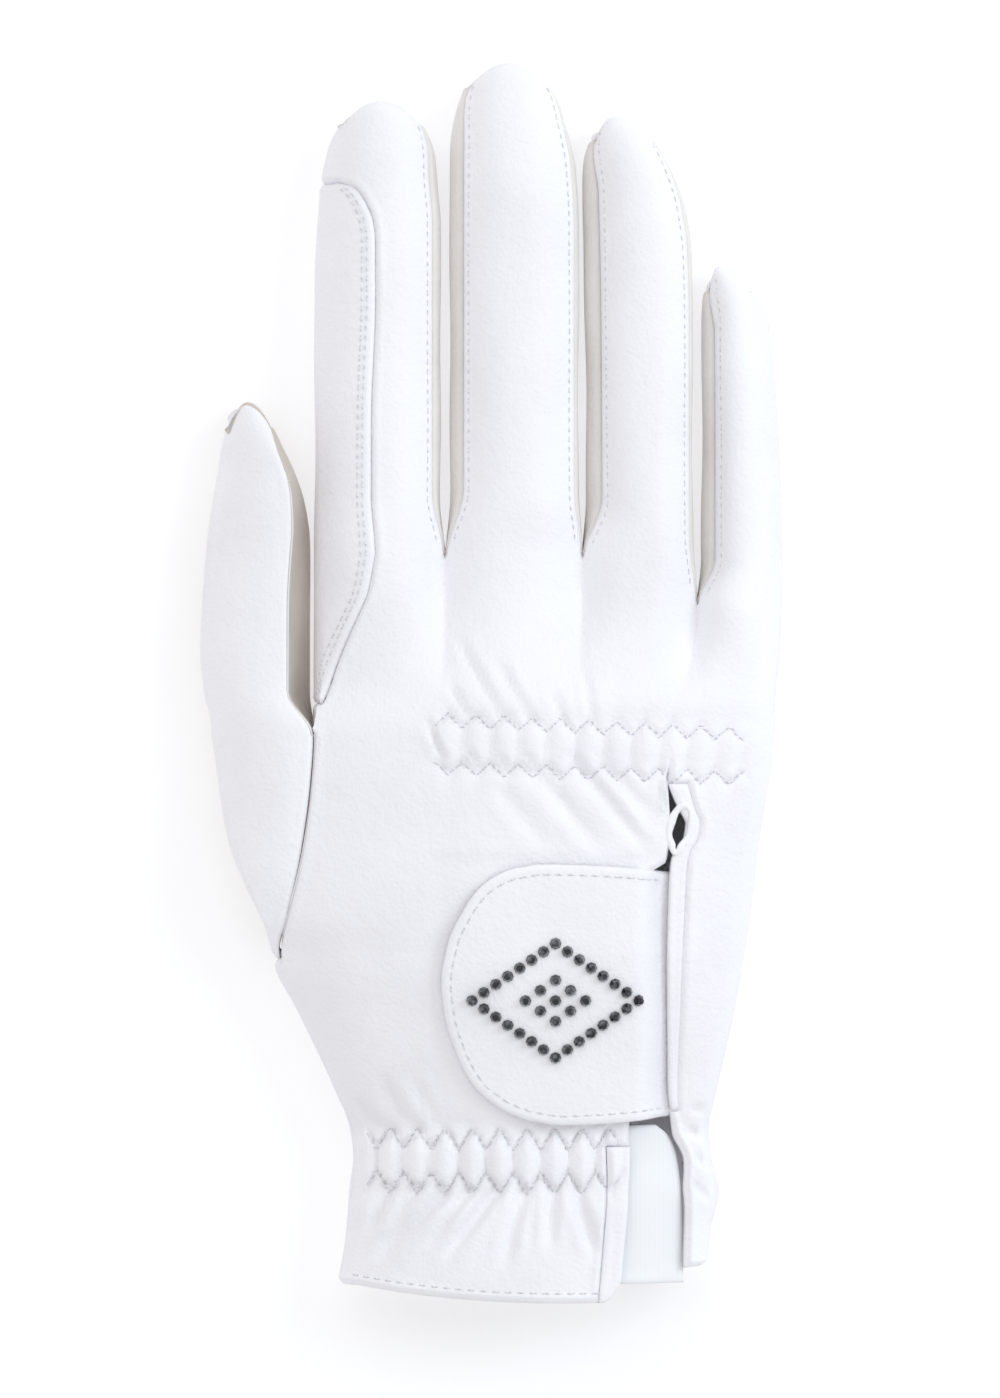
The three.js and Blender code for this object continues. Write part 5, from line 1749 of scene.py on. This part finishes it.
@dataclass
class Seamwork:
    """Rows of stitches laid on the finished leather."""

    form: GloveForm
    thread: bpy.types.Material
    skin: GloveSkin
    tab: ClosureTab

    def tree(self, panel: Panel) -> BVHTree:
        """Return a search tree over a panel's outer surface."""
        return BVHTree.FromPolygons(panel.points.tolist(), panel.faces.tolist())

    def resample(self, path: np.ndarray, pitch: float) -> tuple[np.ndarray, np.ndarray]:
        """Return points at an even pitch along a path, and its direction there.

        Args:
            path: The path.
            pitch: Distance between two points, in millimetres.

        Returns:
            The points and the directions.
        """
        gaps = np.linalg.norm(np.diff(path, axis=0), axis=1)
        run = np.concatenate([[0], np.cumsum(gaps)])
        spots = np.arange(pitch / 2, run[-1], pitch)
        points, ahead, behind = (
            np.stack([np.interp(spots + shift, run, path[:, axis]) for axis in range(3)], axis=-1)
            for shift in (0.0, 0.2, -0.2))
        return points, ahead - behind

    def lay(self, name: str, rows: list[tuple[Panel, np.ndarray]], stitch: Stitch) -> None:
        """Lay rows of stitches along paths and make them one object.

        Args:
            name: Name of the object.
            rows: For each row, the panel that it is sewn into and its path.
            stitch: The kind of stitch.
        """
        shape, faces = stitch.template()
        points, triangles, count = [], [], 0
        for panel, path in rows:
            tree = self.tree(panel)
            centers, heading = self.resample(path, stitch.pitch)
            found = [tree.find_nearest(Vector(center)) for center in centers]
            spots = np.array([hit[0] for hit in found])
            up = np.array([hit[1] for hit in found])
            heading = heading - up * np.sum(heading * up, axis=1, keepdims=True)
            heading /= np.maximum(np.linalg.norm(heading, axis=1, keepdims=True), 1e-9)
            across = np.cross(up, heading)
            base = spots + up * stitch.radius * (1 - stitch.sink)
            placed = (base[:, None] + shape[None, :, :1] * heading[:, None]
                      + shape[None, :, 1:2] * across[:, None] + shape[None, :, 2:] * up[:, None])
            offsets = count + len(shape) * np.arange(len(spots))
            points.append(placed.reshape(-1, 3))
            triangles.append((faces[None] + offsets[:, None, None]).reshape(-1, 3))
            count += placed.shape[0] * placed.shape[1]
        thing = new_mesh(name, self.form.place(np.concatenate(points)), np.concatenate(triangles))
        dress(thing, self.thread, "white_leather")

    def dropped(self, panel: Panel, x: np.ndarray, y: np.ndarray) -> np.ndarray:
        """Return the points straight below (x, y) on a panel, leaving out those that miss it.

        Args:
            panel: The panel.
            x: Places across the hand, in millimetres.
            y: Places along it, in millimetres.

        Returns:
            The points that were hit.
        """
        tree = self.tree(panel)
        above = 90.0
        hits = [tree.ray_cast(Vector((a, b, above)), Vector((0, 0, -1)))[0] for a, b in zip(x, y)]
        return np.array([hit for hit in hits if hit is not None])

    def finger_row(self, finger: FingerName, side: str, inset: float) -> np.ndarray:
        """Return a path along a finger's back, a little in from its left or right seam.

        Args:
            finger: The finger.
            side: left or right.
            inset: Distance from the seam, in millimetres.

        Returns:
            The path.
        """
        along = np.linspace(0.03, 0.985, 90)[:, None]
        left, right, _, _ = self.form.finger_ends(finger, along)
        share = inset / (right.x - left.x)
        share = share if side == "left" else 1 - share
        return self.form.finger_surface(finger, along, share, True)[:, 0]

    def patch_row(self, inset: float) -> np.ndarray:
        """Return a path on the rein patch, along its edge and in from it.

        Args:
            inset: Distance from the edge, in millimetres.

        Returns:
            The path.
        """
        hand = np.linspace(0.81, 1, 30)[:, None]
        finger = np.linspace(0.01, 0.85, 70)[:, None]
        width = self.form.fingers[FingerName.INDEX].width
        hand_share = PATCH_HAND.read("share", hand) - inset / width
        finger_share = PATCH_FINGER.read("share", finger) - inset / width
        lower = self.form.hand_surface(FingerName.INDEX, hand, hand_share, True)[:, 0]
        upper = self.form.finger_surface(FingerName.INDEX, finger, finger_share, True)[:, 0]
        return np.concatenate([lower, upper])

    def zigzag(self, shirring: Shirring, upper: bool) -> np.ndarray:
        """Return the path of one of a shirring's seams on the back.

        Args:
            shirring: The shirring.
            upper: True for its upper seam.

        Returns:
            The path.
        """
        x = np.arange(shirring.left + 0.5, shirring.right - 0.5, 0.45)
        y = shirring.seams(x)[0 if upper else 1]
        return self.dropped(self.skin.panels["back_panel"], x, y)

    def tab_row(self, inset: float) -> np.ndarray:
        """Return a path round the tab's free edge, in from it.

        Args:
            inset: Distance from the edge, in millimetres.

        Returns:
            The path.
        """
        row = 0.5 - 0.5 * np.cos(np.pi * np.linspace(0, 1, 300))
        edge = self.tab.surface(np.zeros_like(row), row, self.tab.thickness)
        top = self.tab.surface(np.linspace(0, 0.84, 80), np.ones(80), self.tab.thickness)
        low = self.tab.surface(np.linspace(0.84, 0, 80), np.zeros(80), self.tab.thickness)
        loop = np.concatenate([low, edge[1:-1], top])
        shrink = inset / (self.tab.width / 2)
        middle = np.array([self.tab.root, self.tab.bottom + self.tab.width / 2, 0.0])
        inner = middle + (loop - middle) * np.array([1 - inset / self.tab.length, 1 - shrink, 1.0])
        gaps = np.linalg.norm(inner[:, None, :2] - loop[None, :, :2], axis=2).min(axis=1)
        return inner + (middle - inner) * ((inset - gaps) / 40.0)[:, None] * np.array([1, 1, 0])

    def build(self) -> None:
        """Lay the seam stitches, the top stitching, the hems and the four zigzags."""
        panels = self.skin.panels
        back, name = panels["back_panel"], FingerName
        seams = [(back, self.finger_row(finger, side, 1.35)) for finger, side in (
            (name.INDEX, "right"), (name.MIDDLE, "left"), (name.MIDDLE, "right"),
            (name.RING, "left"), (name.RING, "right"), (name.LITTLE, "left"))]
        self.lay("finger_seam_stitches", seams,
                 Stitch(length=1.2, pitch=1.9, radius=0.13, sink=0.5))
        rein = panels["index_side_panel"]
        self.lay("rein_patch_stitches", [(rein, self.patch_row(inset)) for inset in (1.7, 2.9)],
                 Stitch(length=1.3, pitch=1.9, radius=0.14, sink=0.45))
        self.lay("tab_edge_stitches", [(self.tab.panel, self.tab_row(1.9))],
                 Stitch(length=1.7, pitch=2.3, radius=0.14, sink=0.45))
        zigzags = [(back, self.zigzag(shirring, upper)) for shirring in (KNUCKLE, WRIST)
                   for upper in (True, False)]
        self.lay("shirring_zigzags", zigzags, Stitch(length=1.35, pitch=1.4, radius=0.15, sink=0.4))
        x = np.linspace(-31.5, 20.5, 90)
        hem = self.dropped(back, x, self.form.level(0.0, x) + 1.9)
        self.lay("cuff_hem_stitches", [(back, hem)],
                 Stitch(length=1.5, pitch=2.4, radius=0.15, sink=0.45))


@dataclass
class KeyholeRim:
    """The rolled rim round the slit's end: a closed ring of leather, pinched at its foot."""

    form: GloveForm
    leather: bpy.types.Material
    x: float = 31.9
    y: float = 89.3
    half_width: float = 2.05
    half_height: float = 4.5
    tube: float = 0.75
    lean: float = 0.18
    turns: int = 96
    sides: int = 16

    def build(self) -> None:
        """Build the ring: a circle carried along a leaning ellipse, on the back's surface."""
        turn = 2 * np.pi * np.arange(self.turns)[:, None] / self.turns
        around = 2 * np.pi * np.arange(self.sides)[None, :] / self.sides
        foot = 1 - 0.45 * smooth(-np.sin(turn), 0.2, 1.0)
        away = np.cos(turn) * self.half_width * foot
        up = np.sin(turn) * self.half_height
        radius = self.tube * (1 + 0.12 * np.sin(5 * turn))
        x = self.x + away + self.lean * up + radius * np.cos(around) * np.cos(turn)
        y = self.y + up + radius * np.cos(around) * np.sin(turn)
        level = self.form.back_height(self.form.section(y / self.form.hand_length), x)
        height = level - 0.1 + radius * 0.9 * np.sin(around)
        points = np.stack([x, y, height], axis=-1).reshape(-1, 3)
        ids = np.arange(self.turns * self.sides).reshape(self.turns, self.sides)
        ahead, beside = np.roll(ids, -1, 0), np.roll(ids, -1, 1)
        both = np.roll(ahead, -1, 1)
        faces = np.concatenate([np.stack([ids, ahead, both], -1).reshape(-1, 3),
                                np.stack([ids, both, beside], -1).reshape(-1, 3)])
        rim = new_mesh("keyhole_rim", self.form.place(points), faces)
        dress(rim, self.leather, "white_leather")


@dataclass
class Stones:
    """The dark stones on the tab, which keep the shapes of their nodes."""

    glass: bpy.types.Material

    def dress(self) -> None:
        """Give every stone its glass."""
        for node in [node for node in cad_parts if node.startswith("crystal_")]:
            thing = bpy.data.objects[node]
            thing.data.materials.clear()
            thing.data.materials.append(self.glass)
        log.info("stones dressed")


@dataclass
class Studio:
    """A white floor, soft light from the upper right, and a camera straight above.

    The photo's height and scale, the middle of its frame and the glove's level that they hold
    at are in pixels and the glove's own millimetres. The other lengths are in metres, apart
    from the camera's sensor, in millimetres.
    """

    form: GloveForm
    acrylic: bpy.types.Material
    photo_height: int = 1398
    pixels_per_mm: float = 5.2
    middle: tuple[float, float] = (-2.69, 114.25)
    glove_level: float = 20.0
    camera_height: float = 1.6
    sensor: float = 24.0
    clip_end: float = 10.0
    floor_half: float = 3.0
    floor_level: float = -0.0002
    world_strength: float = 0.745

    def light(self, name: str, place: tuple[float, float, float], size: float, watts: float,
              tone: str) -> None:
        """Add a square area light that faces the glove.

        Args:
            name: Its name.
            place: Where it stands, in metres.
            size: Its side, in metres.
            watts: Its power.
            tone: Its hex colour.
        """
        data = bpy.data.lights.new(name, "AREA")
        data.color = linear(tone)[:3]
        data.size = size
        data.energy = watts
        lamp = bpy.data.objects.new(name, data)
        lamp.location = place
        lamp.rotation_euler = (-Vector(place)).to_track_quat("-Z", "Y").to_euler()
        bpy.context.scene.collection.objects.link(lamp)

    def build(self) -> None:
        """Set up the floor, the lights, the world and the camera."""
        scene = bpy.context.scene
        scene.view_settings.view_transform = "Standard"
        half, level = self.floor_half, self.floor_level
        corners = np.array([[-half, -half, level], [half, -half, level], [half, half, level],
                            [-half, half, level]])
        floor = new_mesh("floor", corners, np.array([[0, 1, 2], [0, 2, 3]]), False)
        floor.data.materials.append(self.acrylic)
        world = bpy.data.worlds.new("studio")
        world.use_nodes = True
        background = world.node_tree.nodes["Background"]
        background.inputs["Color"].default_value = linear("#fdfdff")
        background.inputs["Strength"].default_value = self.world_strength
        scene.world = world
        self.light("key", place=(1.2, 0.55, 0.95), size=0.8, watts=7.5, tone="#eafcff")
        self.light("fill", place=(-0.3, 0.9, 1.5), size=1.4, watts=5.5, tone="#ffffff")
        data = bpy.data.cameras.new("camera")
        data.sensor_fit = "VERTICAL"
        data.sensor_height = self.sensor
        distance = self.camera_height / MM - self.glove_level
        data.lens = self.sensor * distance / (self.photo_height / self.pixels_per_mm)
        data.clip_end = self.clip_end
        camera = bpy.data.objects.new("camera", data)
        x, y, _ = self.form.place(np.array([*self.middle, 0.0]))
        camera.location = (x, y, self.camera_height)
        scene.collection.objects.link(camera)
        scene.camera = camera


def main() -> None:
    """Build the glove piece by piece, then the studio."""
    logging.basicConfig(level=logging.INFO, format="%(name)s: %(message)s")
    form = GloveForm()
    leather = WhiteLeather().make()
    Studio(form, LightTable().make()).build()
    skin = GloveSkin(form, leather, GAP_SHADE_MICROFIBRE.make(), THUMB_SHADE_MICROFIBRE.make())
    skin.build()
    tab = ClosureTab(form, leather)
    tab.build()
    WristGusset(form, StretchKnit().make()).build()
    Seamwork(form, SewingThread().make(), skin, tab).build()
    KeyholeRim(form, leather).build()
    Stones(DarkCutGlass().make()).dress()


if __name__ == "__main__":
    main()
